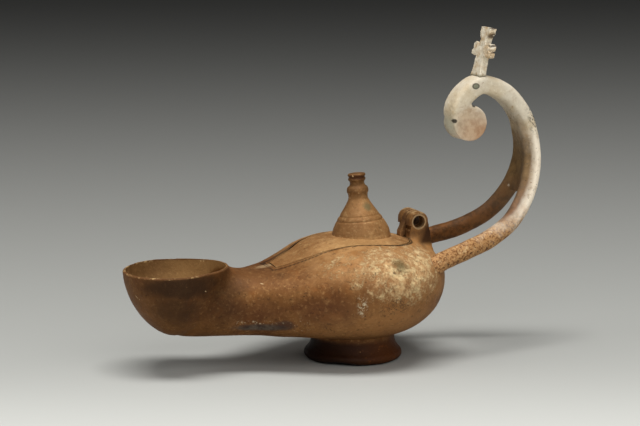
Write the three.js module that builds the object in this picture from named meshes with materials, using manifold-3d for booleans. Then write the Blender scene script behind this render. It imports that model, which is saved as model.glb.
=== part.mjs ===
// Bronze oil lamp: hollow pear-shaped bowl with a wide nozzle cup and a ring foot, a hinged lid
// with a turned knob, and a two-armed handle that rolls into a volute with a small cross on it.
// Millimetres, +Z up, nozzle towards -X. Sizes are measured from the middle of the foot, and the
// whole lamp is then shifted along X so that the origin is below the middle of its length.
import * as THREE from 'three';
import { mergeVertices } from 'three/addons/utils/BufferGeometryUtils.js';
import Module from 'manifold-3d';

const wasm = await Module();
wasm.setup();

// Clearances between pieces
const seatGap = 0.3;
const lidGap = 0.35;
const hingeGap = 0.3;

// Bowl
const wall = 2;
const bowlRadius = 43.8;
const bowlBottom = 10;
const bowlWidest = 39.4;
const bowlTop = 59.6;
const bowlFullness = 2.2;

// Neck between the bowl and the nozzle cup, at its narrowest
const neckX = -68;
const neckWidth = 32;
const neckTop = 46;
const neckBottom = 15.8;
const neckWidestShare = 0.55;

// Nozzle cup
const mouthTip = -112.6;
const mouthWidest = -90;
const mouthRear = -63.5;
const mouthWidth = 48.6;
const rimHeight = 48.3;
const rimRise = 1.4;
const rimWall = 1.3;
const mouthNarrowing = 0.24;
const cupDepth = 30.6;
const cupFlare = 1.72;
const cupFullness = 2;
const cupRearFullness = 2.8;

// Ring foot
const footRadius = 23.4;
const footNeckRadius = 19.9;
const footHeight = 11;
const footRim = 2.4;
const footBead = 2.4;
const footLand = 4.4;
const footRecess = 7.5;
const footFlarePower = 2.4;
const footOverlap = 3;

// Lid outline, seen from above
const lidFront = -44;
const lidFrontWidth = 19;
const lidWaistX = -22;
const lidWaistWidth = 34.2;
const lidWidestX = 10;
const lidWidth = 45;
const lidRear = 26;
const lidRearWidth = 15;
const lidSkew = 0.3;
const lidBevel = 0.8;
const lidReachBelow = 24;
const lidReachAbove = 3;

// Knob on the lid
const knobX = 4;
const knobHeight = 29.3;
const knobRadius = 13.8;
const knobTopRadius = 4.2;
const knobCollarRadius = 5.1;
const knobWaistRadius = 3.5;
const knobNeckRadius = 4.6;
const knobGroove = 0.45;
const knobWall = 3;
const knobSink = 0.6;
const knobBellTop = 0.6;
const knobGrooves = [0.38, 0.54];
const knobHollowTop = 0.42;
const knobLeanX = -3.6;
const knobLeanY = -3;

// Hinge: two lugs on the bowl, one knuckle on the lid and an open bore for the lost pin
const hingeX = 30.9;
const hingeHeight = 64.4;
const hingeRadius = 4.9;
const boreRadius = 3;
const hingeWidth = 14.6;
const knuckleWidth = 4.2;
const lugSpread = 3.6;
const lugFooting = 11;
const lugToe = 4;
const tabLength = 2.6;
const tabThickness = 2.8;
const tabLift = 0.22;
const tabToe = 1.2;

// Handle: where its arms start on the bowl, how far back it reaches and how high
const handleRootAngle = 37.6;
const handleRootHeight = 47.3;
const handleReach = 90.9;
const handleTop = 128.1;
const armWidth = 7;
const armThickness = 8.8;
const armRoll = 35;
const armPad = 9;
const armPadShare = 0.24;
const bandWidth = 15.4;
const webThickness = 7;

// Volute at the end of the handle
const voluteX = 58;
const voluteDrop = 17.8;
const voluteRadius = 8.6;
const voluteWidth = 13;
const bandThickness = 8.4;
const bandSwell = 0.6;
const discInset = 0.5;

// Cross on the volute
const crossX = 64.2;
const crossHeight = 25;
const crossSpan = 18.4;
const crossArmHeight = 14.2;
const crossThickness = 3.4;
const crossFootWidth = 10;
const crossTopWidth = 10.4;
const crossWaist = 6;
const crossNotch = 1.5;
const crossLean = 13.5;
const crossSink = 1.2;

// How finely the round forms are faceted
const outerSides = 34;
const innerSides = 20;
const footSides = 30;
const knobSides = 24;
const barSides = 12;

const bronze = (color, roughness) => new THREE.MeshStandardMaterial({ color, roughness, metalness: 0.55 });
const materials = {
  body: bronze(0x9a6a3e, 0.62),
  lid: bronze(0xb0824f, 0.6),
  handle: bronze(0xcfc0a4, 0.7),
  cross: bronze(0xd8ccb4, 0.72),
};

// A closed solid from a row of rings that all have the same number of points.
function loft(rings) {
  const count = rings[0].length;
  const points = rings.flat();
  const faces = [];
  for (let i = 0; i + 1 < rings.length; i++) {
    for (let j = 0; j < count; j++) {
      const a = i * count + j;
      const b = i * count + (j + 1) % count;
      faces.push(a, b, b + count, a, b + count, a + count);
    }
  }
  for (const [ring, start, turned] of [[rings[0], 0, true], [rings.at(-1), points.length - count, false]]) {
    const middle = points.length;
    points.push(ring.reduce((sum, p) => sum.add(p), new THREE.Vector3()).divideScalar(count));
    for (let j = 0; j < count; j++) {
      const edge = [start + j, start + (j + 1) % count];
      faces.push(middle, edge[turned ? 1 : 0], edge[turned ? 0 : 1]);
    }
  }
  return solid(new THREE.BufferGeometry().setFromPoints(points).setIndex(faces));
}

// A closed geometry as a solid that can be joined and cut. Faces that point in are turned.
function solid(geometry) {
  const bare = geometry.index ? geometry : geometry.clone();
  bare.deleteAttribute('normal');
  bare.deleteAttribute('uv');
  const merged = mergeVertices(bare, 1e-4);
  const index = merged.index.array;
  const vertProperties = new Float32Array(merged.attributes.position.array);
  const triVerts = new Uint32Array(index.length);
  const turned = signedVolume(vertProperties, index) < 0;
  for (let i = 0; i < index.length; i += 3) {
    triVerts[i] = index[i];
    triVerts[i + 1] = index[turned ? i + 2 : i + 1];
    triVerts[i + 2] = index[turned ? i + 1 : i + 2];
  }
  return new wasm.Manifold(new wasm.Mesh({ numProp: 3, vertProperties, triVerts }));
}

function signedVolume(position, index) {
  const corner = (i) => new THREE.Vector3().fromArray(position, index[i] * 3);
  let sum = 0;
  for (let i = 0; i < index.length; i += 3) {
    sum += corner(i).dot(corner(i + 1).cross(corner(i + 2)));
  }
  return sum / 6;
}

function meshOf(name, body, material) {
  const { vertProperties, triVerts } = body.getMesh();
  const geometry = new THREE.BufferGeometry();
  geometry.setAttribute('position', new THREE.BufferAttribute(new Float32Array(vertProperties), 3));
  geometry.setIndex(new THREE.BufferAttribute(new Uint32Array(triVerts), 1));
  geometry.computeVertexNormals();
  const mesh = new THREE.Mesh(geometry, material);
  mesh.name = name;
  return mesh;
}

const vec = (x, y, z) => new THREE.Vector3(x, y, z);
const signedPower = (value, power) => Math.sign(value) * Math.abs(value) ** power;
const superArc = (share, fullness) => Math.max(0, 1 - Math.abs(share) ** fullness) ** (1 / fullness);

// A smooth row of values through named stations, a few steps between each two.
function through(stations, steps) {
  const keys = Object.keys(stations[0]);
  const curve = (a, b, c, d, t) => b + 0.5 * t * (c - a + t * (2 * a - 5 * b + 4 * c - d + t * (3 * (b - c) + d - a)));
  const rows = [];
  for (let i = 0; i + 1 < stations.length; i++) {
    const around = [i - 1, i, i + 1, i + 2].map((k) => stations[Math.min(Math.max(k, 0), stations.length - 1)]);
    for (let s = 0; s < steps; s++) {
      rows.push(Object.fromEntries(keys.map((key) => [key, curve(...around.map((a) => a[key]), s / steps)])));
    }
  }
  rows.push(stations.at(-1));
  return rows;
}

// An egg-shaped upright section of the bowl or the neck, shrunk by the wall on the inside.
function section({ x, half, widest, top, bottom }, inset, sides) {
  const ring = [];
  for (let j = 0; j < sides; j++) {
    const angle = (j / sides) * 2 * Math.PI;
    const across = signedPower(Math.cos(angle), 2 / bowlFullness);
    const up = signedPower(Math.sin(angle), 2 / bowlFullness);
    const reach = up > 0 ? top - widest - inset : widest - bottom - inset;
    ring.push(vec(x, (half - inset) * across, widest + reach * up));
  }
  return ring;
}

// The height of the bowl's top along its middle, behind its widest place.
const crownAt = (x) => bowlWidest + (bowlTop - bowlWidest) * superArc(x / bowlRadius, bowlFullness);

// The bowl runs forward into the neck. Each front station is a share of the way to the neck, with
// how much of the bowl's swell, rise and fall is left there.
function bowlAndNeck(inset, sides, rearSteps, frontSteps) {
  const radius = bowlRadius - inset;
  const rear = [];
  for (let i = 0; i < rearSteps; i++) {
    const angle = (Math.max(i, 0.12) / rearSteps) * Math.PI / 2;
    const share = Math.cos(angle);
    const reach = superArc(share, bowlFullness);
    rear.push({
      x: radius * share,
      half: inset + radius * Math.sin(angle),
      widest: bowlWidest,
      top: bowlWidest + inset + (bowlTop - bowlWidest - inset) * reach,
      bottom: bowlWidest - inset - (bowlWidest - bowlBottom - inset) * reach,
    });
  }
  const neckWidest = neckBottom + (neckTop - neckBottom) * neckWidestShare;
  const at = (share, swell, rise, fall) => ({
    x: neckX * share,
    half: neckWidth / 2 + (bowlRadius - neckWidth / 2) * swell,
    widest: bowlWidest + (neckWidest - bowlWidest) * Math.min(share, 1),
    top: neckTop + (bowlTop - neckTop) * rise,
    bottom: neckBottom + (bowlBottom - neckBottom) * fall,
  });
  const front = through([
    at(0, 1, 1, 1),
    at(0.15, 0.97, 0.95, 0.85),
    at(0.3, 0.855, 0.76, 0.68),
    at(0.44, 0.665, 0.44, 0.53),
    at(0.59, 0.43, 0.16, 0.38),
    at(0.72, 0.235, 0.04, 0.2),
    at(0.81, 0.125, 0, 0.12),
    at(0.9, 0.045, 0.08, 0.05),
    at(1, 0, 0.14, 0),
    at(1.13, -0.02, 0, -0.08),
    at(1.26, -0.12, -0.5, -0.2),
    at(1.34, -0.36, -0.9, -0.45),
  ], frontSteps);
  return loft([...rear, ...front].map((station) => section(station, inset, sides)));
}

// Seen from above, the mouth is an egg: round at the tip and narrower towards the neck.
function mouthOutline(rimInset, sides) {
  const outline = [];
  for (let j = 0; j < sides; j++) {
    const angle = (j / sides) * 2 * Math.PI;
    const ahead = Math.cos(angle);
    const reach = (ahead < 0 ? mouthWidest - mouthTip : mouthRear - mouthWidest) - rimInset;
    const narrowing = ahead < 0 ? 1 : 1 - mouthNarrowing * ahead * (1 - ahead);
    outline.push([mouthWidest + reach * ahead, (mouthWidth / 2 - rimInset) * Math.sin(angle) * narrowing]);
  }
  return outline;
}

// The cup narrows from the rim down to its bottom. Its front slopes back like a flare, its sides
// are rounder, and its rear stays upright to meet the neck. The rim climbs a little to the neck.
function cup(rimInset, floorInset, lift, sides, steps) {
  const outline = mouthOutline(rimInset, sides);
  const rimAt = (x) => rimHeight + rimRise * (x - mouthTip) / (mouthRear - mouthTip);
  const floor = rimHeight - cupDepth + floorInset;
  const rings = [];
  for (let i = 0; i < steps; i++) {
    const share = Math.sin((i / steps) * Math.PI / 2);
    rings.push(outline.map(([x, y]) => {
      const along = superArc(share, x < mouthWidest ? cupFlare : cupRearFullness);
      const px = mouthWidest + (x - mouthWidest) * along;
      return vec(px, y * superArc(share, cupFullness), rimAt(x) * (1 - share) + floor * share);
    }));
  }
  if (lift > 0) {
    rings.unshift(outline.map(([x, y]) => vec(x, y, rimAt(x) + lift)));
  }
  return loft(rings);
}

// A lathe about an upright axis from a closed half-profile that starts and ends on the axis.
function turned(profile, sides) {
  const geometry = new THREE.LatheGeometry(profile.map(([r, z]) => new THREE.Vector2(r, z)), sides);
  geometry.rotateX(Math.PI / 2);
  return solid(geometry);
}

function foot() {
  const ring = arc(footRadius - footBead, footBead, footBead, -Math.PI / 2, Math.PI * 0.32, 4);
  const [ringX, ringZ] = ring.at(-1);
  const waist = [];
  const steps = 4;
  for (let i = 1; i <= steps; i++) {
    const share = i / steps;
    waist.push([footNeckRadius + (ringX - footNeckRadius) * (1 - share) ** footFlarePower,
      ringZ + (footHeight - ringZ) * share]);
  }
  return turned([[0, 0], ...ring, ...waist,
    [footNeckRadius - wall, footHeight + footOverlap], [0, footHeight + footOverlap]], footSides);
}

function footHollow() {
  const mouth = footRadius - footLand;
  const roof = footNeckRadius - wall - 0.6;
  return turned([[0, -2], [mouth, -2], [mouth, 0], [roof, footRim], [roof, footRecess - 1],
    [roof - 1, footRecess], [0, footRecess]], innerSides);
}

// An upright slab, from an outline in the X-Z plane, with its middle on the plane of symmetry.
function slab(outline, width, middle = 0) {
  const shape = new THREE.Shape(outline.map(([x, z]) => new THREE.Vector2(x, z)));
  const geometry = new THREE.ExtrudeGeometry(shape, { depth: width, bevelEnabled: false });
  geometry.rotateX(Math.PI / 2);
  geometry.translate(0, middle + width / 2, 0);
  return solid(geometry);
}

function circle(x, z, radius, sides) {
  const points = [];
  for (let j = 0; j < sides; j++) {
    const angle = (j / sides) * 2 * Math.PI;
    points.push([x + radius * Math.cos(angle), z + radius * Math.sin(angle)]);
  }
  return points;
}

// A lug stands on the rear shoulder of the bowl, and its top is round about the bore.
function lugs() {
  const width = (hingeWidth - knuckleWidth) / 2 - hingeGap;
  const middle = knuckleWidth / 2 + hingeGap + width / 2;
  const footing = bowlTop - lugFooting;
  const outline = [[hingeX - hingeRadius, footing], [hingeX + hingeRadius + lugSpread, footing],
    [hingeX + hingeRadius + lugSpread * 0.6, footing + lugToe], [hingeX + hingeRadius, hingeHeight],
    ...arc(hingeX, hingeHeight, hingeRadius, 0, Math.PI, 12).slice(1)];
  return slab(outline, width, -middle).add(slab(outline, width, middle));
}

function arc(x, z, radius, from, to, steps) {
  const points = [];
  for (let i = 0; i <= steps; i++) {
    const angle = from + (to - from) * i / steps;
    points.push([x + radius * Math.cos(angle), z + radius * Math.sin(angle)]);
  }
  return points;
}

const bore = () => slab(circle(hingeX, hingeHeight, boreRadius, innerSides), hingeWidth + 4);

// The outline of the lid: a straight front edge, a long tongue that leans a little to one side,
// and a round rear about the knob.
function lidOutline(grow) {
  const tongue = lidWidestX - lidFront;
  const round = lidRear - lidWidestX;
  const halves = through([
    { x: lidFront, y: lidFrontWidth / 2 },
    { x: (lidFront + lidWaistX) / 2, y: (lidFrontWidth + lidWaistWidth) / 4 - 0.3 },
    { x: lidWaistX, y: lidWaistWidth / 2 },
    { x: (lidWaistX + lidWidestX) / 2, y: (lidWaistWidth + lidWidth * 2) / 6 },
    { x: lidWidestX, y: lidWidth / 2 },
    { x: lidWidestX + round * 0.55, y: lidWidth / 2 * 0.86 },
    { x: lidWidestX + round * 0.9, y: lidRearWidth / 2 + (lidWidth - lidRearWidth) / 2 * 0.36 },
    { x: lidRear, y: lidRearWidth / 2 },
  ], 3);
  const edge = (side) => halves.map(({ x, y }) => {
    const ahead = Math.max(0, (lidWidestX - x) / tongue);
    return [x + Math.sign(x - lidWidestX) * grow, side * (y + grow) + lidSkew * Math.sin(ahead * Math.PI)];
  });
  return [...edge(1), ...edge(-1).reverse()];
}

// The space of the lid in the bowl's wall. Its sides slope, so the lid rests on them.
function lidSpace(grow) {
  const low = bowlTop - lidReachBelow;
  const high = bowlTop + lidReachAbove;
  const slope = lidBevel / wall;
  const ring = (z) => lidOutline(grow + (z - bowlTop) * slope * 0.5).map(([x, y]) => vec(x, y, z));
  return loft([ring(low), ring(high)]);
}

// A short tab rises from the lid's rear edge to the knuckle between the lugs.
function knuckle() {
  const low = crownAt(lidRear) + tabLift;
  const front = lidRear - tabLength;
  const outline = [[front, low], [lidRear - tabToe, low], [hingeX - hingeRadius * 0.5, hingeHeight - hingeRadius],
    [hingeX, hingeHeight], [hingeX - hingeRadius, hingeHeight], [front, low + tabThickness]];
  return slab(outline, knuckleWidth).add(slab(circle(hingeX, hingeHeight, hingeRadius, knobSides), knuckleWidth));
}

// The knob: a bell with two grooves, a collar, a waist and a small flat top with a groove.
function knobProfile() {
  const bell = [];
  const steps = 12;
  for (let i = 0; i <= steps; i++) {
    const share = i / steps;
    const radius = knobNeckRadius + (knobRadius - knobNeckRadius) * (1 - share ** 1.5) ** 1.3;
    bell.push([radius, knobHeight * (0.02 + (knobBellTop - 0.02) * share)]);
  }
  const grooveAt = (share) => Math.round(share * steps);
  for (const share of knobGrooves) {
    bell[grooveAt(share)][0] -= knobGroove;
  }
  return [[0, -4], [knobRadius, -4], ...bell,
    [knobNeckRadius, knobHeight * 0.67], [knobCollarRadius, knobHeight * 0.705],
    [knobCollarRadius - 0.2, knobHeight * 0.77], [knobWaistRadius, knobHeight * 0.81],
    [knobWaistRadius, knobHeight * 0.87], [knobTopRadius, knobHeight * 0.9],
    [knobTopRadius - knobGroove, knobHeight * 0.925], [knobTopRadius - knobGroove, knobHeight * 0.945],
    [knobTopRadius, knobHeight * 0.96], [knobTopRadius, knobHeight - 0.4], [knobTopRadius - 0.4, knobHeight],
    [0, knobHeight]];
}

function placedKnob(profile, sides) {
  return turned(profile, sides).rotate([knobLeanY, knobLeanX, 0]).translate([knobX, 0, bowlTop - knobSink]);
}

// Under the knob the bell is hollow, so that the lid's underside follows it.
function knobHollow() {
  const roof = knobHeight * knobHollowTop;
  return placedKnob([[0, -8], [knobRadius - knobWall, -8], [knobRadius - knobWall, 0],
    [knobNeckRadius * 0.6, roof], [0, roof]], innerSides);
}

// A place on the handle's middle line, as shares of its reach, its rise and its spread.
const handleRoot = {
  x: (bowlRadius - 2) * Math.cos(THREE.MathUtils.degToRad(handleRootAngle)),
  y: (bowlRadius - 2) * Math.sin(THREE.MathUtils.degToRad(handleRootAngle)),
};
const handleAt = (back, rise, spread) => ({
  x: handleRoot.x + (handleReach - handleRoot.x) * back,
  y: handleRoot.y * spread,
  z: handleRootHeight + (handleTop - handleRootHeight) * rise,
});

// The middle line of an arm, from inside the bowl's wall up to where both arms are one band.
const armStations = [
  handleAt(-0.13, -0.05, 1.05),
  handleAt(0, 0, 1),
  handleAt(0.12, 0.026, 0.94),
  handleAt(0.285, 0.058, 0.85),
  handleAt(0.518, 0.106, 0.7),
  handleAt(0.753, 0.199, 0.54),
  handleAt(0.916, 0.343, 0.386),
  handleAt(0.995, 0.504, 0.268),
  handleAt(0.998, 0.64, 0.197),
  handleAt(0.95, 0.781, 0.15),
  handleAt(0.884, 0.865, 0.13),
];

// A bar along a row of stations. Its section may roll about the bar and change in size.
function sweep(stations, steps, sides, sizeAt, fullness) {
  const rows = through(stations, steps);
  const last = rows.length - 1;
  return loft(rows.map(({ x, y, z }, i) => {
    const before = rows[Math.max(i - 1, 0)];
    const after = rows[Math.min(i + 1, last)];
    const out = vec(after.z - before.z, 0, before.x - after.x).normalize();
    const { width, thickness, roll } = sizeAt(i / last);
    const up = out.clone().multiplyScalar(Math.cos(roll)).add(vec(0, Math.sin(roll), 0));
    const across = vec(0, Math.cos(roll), 0).addScaledVector(out, -Math.sin(roll));
    const ring = [];
    for (let j = 0; j < sides; j++) {
      const angle = (j / sides) * 2 * Math.PI;
      const a = signedPower(Math.cos(angle), 2 / fullness) * width / 2;
      const b = signedPower(Math.sin(angle), 2 / fullness) * thickness / 2;
      ring.push(vec(x, y, z).addScaledVector(across, a).addScaledVector(up, b));
    }
    return ring;
  }));
}

// Each arm is an oval bar that leans in at the top, and spreads into a pad on the bowl.
function arm(side) {
  const stations = armStations.map(({ x, y, z }) => ({ x, y: side * y, z }));
  return sweep(stations, 2, barSides, (share) => {
    const flare = Math.max(0, 1 - share / armPadShare) ** 2;
    return {
      width: armWidth + (armPad - armWidth) * flare,
      thickness: armThickness + (armPad - armThickness) * flare,
      roll: side * THREE.MathUtils.degToRad(armRoll) * (1 - share) ** 0.7,
    };
  }, 2.2);
}

// Where the arms come close, a thinner web joins them into one band.
function web() {
  const joined = armStations.slice(-5);
  const stations = joined.map(({ x, z }) => ({ x, y: 0, z }));
  const spread = through(joined, 12).map(({ y }) => 2 * y);
  return sweep(stations, 2, barSides, (share) => ({
    width: spread[Math.round(share * (spread.length - 1))] + armWidth * 0.4,
    thickness: webThickness * Math.min(1, 0.2 + share * 3),
    roll: 0,
  }), 3);
}

// The band goes over the top, curls down and ends in a solid round disc.
function volute() {
  const voluteHeight = handleTop - voluteDrop;
  const curl = (across, up) => ({ x: voluteX + voluteRadius * across, y: 0, z: voluteHeight + voluteRadius * up });
  const bandStations = [
    handleAt(0.985, 0.7, 0),
    handleAt(0.95, 0.781, 0),
    handleAt(0.884, 0.865, 0),
    handleAt(0.77, 0.948, 0),
    handleAt(0.648, 0.992, 0),
    handleAt(0.539, 1, 0),
    curl(0.08, 1.74),
    curl(-0.38, 1.24),
    curl(-0.6, 0.66),
    curl(-0.5, 0),
  ];
  const band = sweep(bandStations, 3, barSides, (share) => ({
    width: bandWidth + (voluteWidth - bandWidth) * Math.min(1, share * 2),
    thickness: (bandThickness + bandSwell * Math.sin(share * Math.PI)) * Math.min(1, 0.5 + share * 5),
    roll: 0,
  }), 2.8);
  const disc = slab(circle(voluteX, voluteHeight, voluteRadius, footSides), voluteWidth - discInset);
  return band.add(disc);
}

// The cross faces the nozzle: a flared foot, side arms with forked ends and a flared top.
function cross() {
  const side = [
    [crossFootWidth / 2 - 1, 0],
    [crossFootWidth / 2, 1.8],
    [crossFootWidth / 2 - 0.6, 4],
    [crossWaist / 2 + 0.7, crossArmHeight - 3.2],
    [crossSpan / 2 - 2.6, crossArmHeight - 3.6],
    [crossSpan / 2, crossArmHeight - 3],
    [crossSpan / 2, crossArmHeight - 1],
    [crossSpan / 2 - crossNotch, crossArmHeight - 0.3],
    [crossSpan / 2, crossArmHeight + 0.4],
    [crossSpan / 2 - 0.3, crossArmHeight + 2.6],
    [crossSpan / 2 - 2.4, crossArmHeight + 3.2],
    [crossWaist / 2, crossArmHeight + 2.4],
    [crossWaist / 2 - 0.2, crossArmHeight + 5],
    [crossTopWidth / 2, crossHeight - 2.6],
    [crossTopWidth / 2 - 0.3, crossHeight],
  ];
  const outline = [...side, ...[...side].reverse().map(([y, z]) => [-y, z])];
  const shape = new THREE.Shape(outline.map(([y, z]) => new THREE.Vector2(y, z)));
  const geometry = new THREE.ExtrudeGeometry(shape, { depth: crossThickness, bevelEnabled: false });
  geometry.translate(0, 0, -crossThickness / 2);
  geometry.rotateX(Math.PI / 2);
  geometry.rotateZ(Math.PI / 2);
  const seat = handleTop + bandThickness / 2;
  return solid(geometry).rotate([0, crossLean, 0]).translate([crossX, 0, seat - crossSink]);
}

const outerForm = bowlAndNeck(0, outerSides, 8, 2);
const innerForm = bowlAndNeck(wall, innerSides, 6, 1);
const outside = outerForm.add(cup(0, 0, 0, outerSides, 9)).add(foot()).add(lugs());
const inside = innerForm.add(cup(rimWall, wall, 6, innerSides, 7));
const shell = outside.subtract(inside);

const body = shell.subtract(footHollow()).subtract(lidSpace(lidGap)).subtract(bore());

const lidPlate = outerForm.subtract(innerForm).intersect(lidSpace(0));
const lid = lidPlate.add(placedKnob(knobProfile(), knobSides).subtract(innerForm))
  .subtract(knobHollow())
  .add(knuckle())
  .subtract(bore());

const handleSolid = arm(-1).add(arm(1)).add(web()).add(volute());
const handle = handleSolid.subtract(bowlAndNeck(-seatGap, outerSides, 8, 2)).decompose()
  .reduce((largest, piece) => (piece.volume() > largest.volume() ? piece : largest));

const crossSolid = cross().subtract(handleSolid.add(handleSolid.translate([0, 0, seatGap])));

const lamp = new THREE.Group();
lamp.add(meshOf('lamp_body', body, materials.body));
lamp.add(meshOf('lid', lid, materials.lid));
lamp.add(meshOf('handle', handle, materials.handle));
lamp.add(meshOf('handle_cross', crossSolid, materials.cross));

const box = new THREE.Box3().setFromObject(lamp);
lamp.position.x = -(box.min.x + box.max.x) / 2;

export default lamp;
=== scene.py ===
import math

import bpy
import bmesh
import numpy as np
from mathutils import Matrix, Vector, noise
from mathutils.bvhtree import BVHTree


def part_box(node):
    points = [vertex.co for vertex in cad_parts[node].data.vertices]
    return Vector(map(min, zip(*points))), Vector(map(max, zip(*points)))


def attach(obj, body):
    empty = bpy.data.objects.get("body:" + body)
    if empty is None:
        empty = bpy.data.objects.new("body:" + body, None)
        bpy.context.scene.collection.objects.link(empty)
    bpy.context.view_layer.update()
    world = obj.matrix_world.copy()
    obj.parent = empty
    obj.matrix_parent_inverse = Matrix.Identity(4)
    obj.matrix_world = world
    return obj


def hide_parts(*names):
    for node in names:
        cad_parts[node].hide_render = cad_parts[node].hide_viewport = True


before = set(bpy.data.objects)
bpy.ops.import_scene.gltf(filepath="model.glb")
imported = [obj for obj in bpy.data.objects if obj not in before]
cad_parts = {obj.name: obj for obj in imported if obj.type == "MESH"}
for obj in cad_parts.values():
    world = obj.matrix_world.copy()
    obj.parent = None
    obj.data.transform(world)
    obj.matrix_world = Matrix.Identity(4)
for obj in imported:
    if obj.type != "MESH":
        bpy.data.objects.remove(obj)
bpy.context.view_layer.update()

MM = 0.001
MOUTH_TIP = -112.6
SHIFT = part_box("lamp_body")[0].x / MM - MOUTH_TIP


def spow(value, power):
    return np.sign(value) * np.abs(value) ** power


def super_arc(share, fullness):
    return np.maximum(0.0, 1 - np.abs(share) ** fullness) ** (1 / fullness)


def through(stations, steps):
    """A smooth row through the stations, a few steps between each two."""
    p = np.asarray(stations, float)
    rows = []
    for i in range(len(p) - 1):
        a, b, c, d = (p[min(max(k, 0), len(p) - 1)] for k in (i - 1, i, i + 1, i + 2))
        for s in range(steps):
            t = s / steps
            rows.append(b + 0.5 * t * (c - a + t * (2 * a - 5 * b + 4 * c - d + t * (3 * (b - c) + d - a))))
    rows.append(p[-1])
    return np.array(rows)


def new_object(name, verts, faces):
    mesh = bpy.data.meshes.new(name)
    mesh.from_pydata([tuple(v) for v in verts], [], faces)
    mesh.update()
    obj = bpy.data.objects.new(name, mesh)
    bpy.context.scene.collection.objects.link(obj)
    bm = bmesh.new()
    bm.from_mesh(mesh)
    bmesh.ops.remove_doubles(bm, verts=bm.verts, dist=1e-4)
    bmesh.ops.dissolve_degenerate(bm, edges=bm.edges, dist=1e-5)
    bmesh.ops.recalc_face_normals(bm, faces=bm.faces)
    if bm.calc_volume(signed=True) < 0:
        bmesh.ops.reverse_faces(bm, faces=bm.faces)
    bm.to_mesh(mesh)
    bm.free()
    return obj


def loft(name, rings):
    count = len(rings[0])
    verts = np.vstack(rings)
    faces = []
    for i in range(len(rings) - 1):
        for j in range(count):
            a, b = i * count + j, i * count + (j + 1) % count
            faces.append((a, b, b + count, a + count))
    faces.append(tuple(range(count)))
    faces.append(tuple(range(len(verts) - count, len(verts))))
    return new_object(name, verts, faces)


# The vessel: wall, and the bowl's radius, lowest, widest and highest places
WALL, BOWL_R, BOWL_LOW, BOWL_MID, BOWL_TOP, BOWL_FULL = 2.0, 43.8, 10.0, 39.4, 59.6, 2.2
NECK_X, NECK_W, NECK_TOP, NECK_LOW, NECK_WIDEST = -68.0, 32.0, 46.0, 15.8, 0.55


def section(x, half, widest, top, bottom, inset, sides):
    angle = np.arange(sides) / sides * 2 * math.pi
    across = spow(np.cos(angle), 2 / BOWL_FULL)
    up = spow(np.sin(angle), 2 / BOWL_FULL)
    reach = np.where(up > 0, top - widest - inset, widest - bottom - inset)
    return np.c_[np.full(sides, x), (half - inset) * across, widest + reach * up]


# Each station of the neck: its share of the way forward, and how much of the bowl's swell, rise
# and fall is left there.
NECK_STATIONS = (
    (0, 1, 1, 1), (.15, .97, .95, .85), (.3, .855, .76, .68), (.44, .665, .44, .53),
    (.59, .43, .16, .38), (.72, .235, .04, .2), (.81, .125, 0, .12), (.9, .045, .08, .05),
    (1, 0, .14, 0), (1.13, -.02, 0, -.08), (1.26, -.12, -.5, -.2), (1.34, -.36, -.9, -.45),
)


def bowl_and_neck(name, inset, sides=112, rear_steps=34, front_steps=9):
    radius = BOWL_R - inset
    rows = []
    for i in range(rear_steps):
        angle = max(i, 0.3) / rear_steps * math.pi / 2
        share = math.cos(angle)
        reach = float(super_arc(share, BOWL_FULL))
        rows.append((radius * share, inset + radius * math.sin(angle), BOWL_MID,
                     BOWL_MID + inset + (BOWL_TOP - BOWL_MID - inset) * reach,
                     BOWL_MID - inset - (BOWL_MID - BOWL_LOW - inset) * reach))
    neck_mid = NECK_LOW + (NECK_TOP - NECK_LOW) * NECK_WIDEST
    stations = []
    for share, swell, rise, fall in NECK_STATIONS:
        stations.append((NECK_X * share, NECK_W / 2 + (BOWL_R - NECK_W / 2) * swell,
                         BOWL_MID + (neck_mid - BOWL_MID) * min(share, 1),
                         NECK_TOP + (BOWL_TOP - NECK_TOP) * rise, NECK_LOW + (BOWL_LOW - NECK_LOW) * fall))
    rows += [tuple(r) for r in through(stations, front_steps)]
    return loft(name, [section(*row, inset, sides) for row in rows])


# The nozzle's cup: its rim, depth and middle, and how full its front, rear and sides are
RIM_H, RIM_RISE, RIM_WALL, CUP_DEPTH = 48.3, 1.4, 1.3, 30.6
CUP_MID, CUP_REAR, CUP_W, CUP_NARROWING = -90.0, -63.5, 48.6, 0.24
CUP_FRONT_FULL, CUP_REAR_FULL, CUP_SIDE_FULL = 1.72, 2.8, 2.0


def rim_at(x):
    return RIM_H + RIM_RISE * (x - MOUTH_TIP) / (CUP_REAR - MOUTH_TIP)


def cup(name, rim_inset, floor_inset, lift, sides=112, steps=30):
    angle = np.arange(sides) / sides * 2 * math.pi
    ahead = np.cos(angle)
    reach = np.where(ahead < 0, CUP_MID - MOUTH_TIP, CUP_REAR - CUP_MID) - rim_inset
    narrowing = np.where(ahead < 0, 1, 1 - CUP_NARROWING * ahead * (1 - ahead))
    x = CUP_MID + reach * ahead
    y = (CUP_W / 2 - rim_inset) * np.sin(angle) * narrowing
    floor = RIM_H - CUP_DEPTH + floor_inset
    rings = []
    if lift > 0:
        rings.append(np.c_[x, y, rim_at(x) + lift])
    for i in range(steps):
        share = math.sin(i / steps * math.pi / 2)
        along = np.where(x < CUP_MID, super_arc(share, CUP_FRONT_FULL), super_arc(share, CUP_REAR_FULL))
        rings.append(np.c_[CUP_MID + (x - CUP_MID) * along, y * super_arc(share, CUP_SIDE_FULL),
                           rim_at(x) * (1 - share) + floor * share])
    return loft(name, rings)


def turned(name, profile, sides=112):
    """A lathe about Z from a half-profile of (radius, height), bottom to top, closed on the axis."""
    rings = []
    for r, z in profile:
        angle = np.arange(sides) / sides * 2 * math.pi
        rings.append(np.c_[r * np.cos(angle), r * np.sin(angle), np.full(sides, z)])
    return loft(name, rings)


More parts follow.
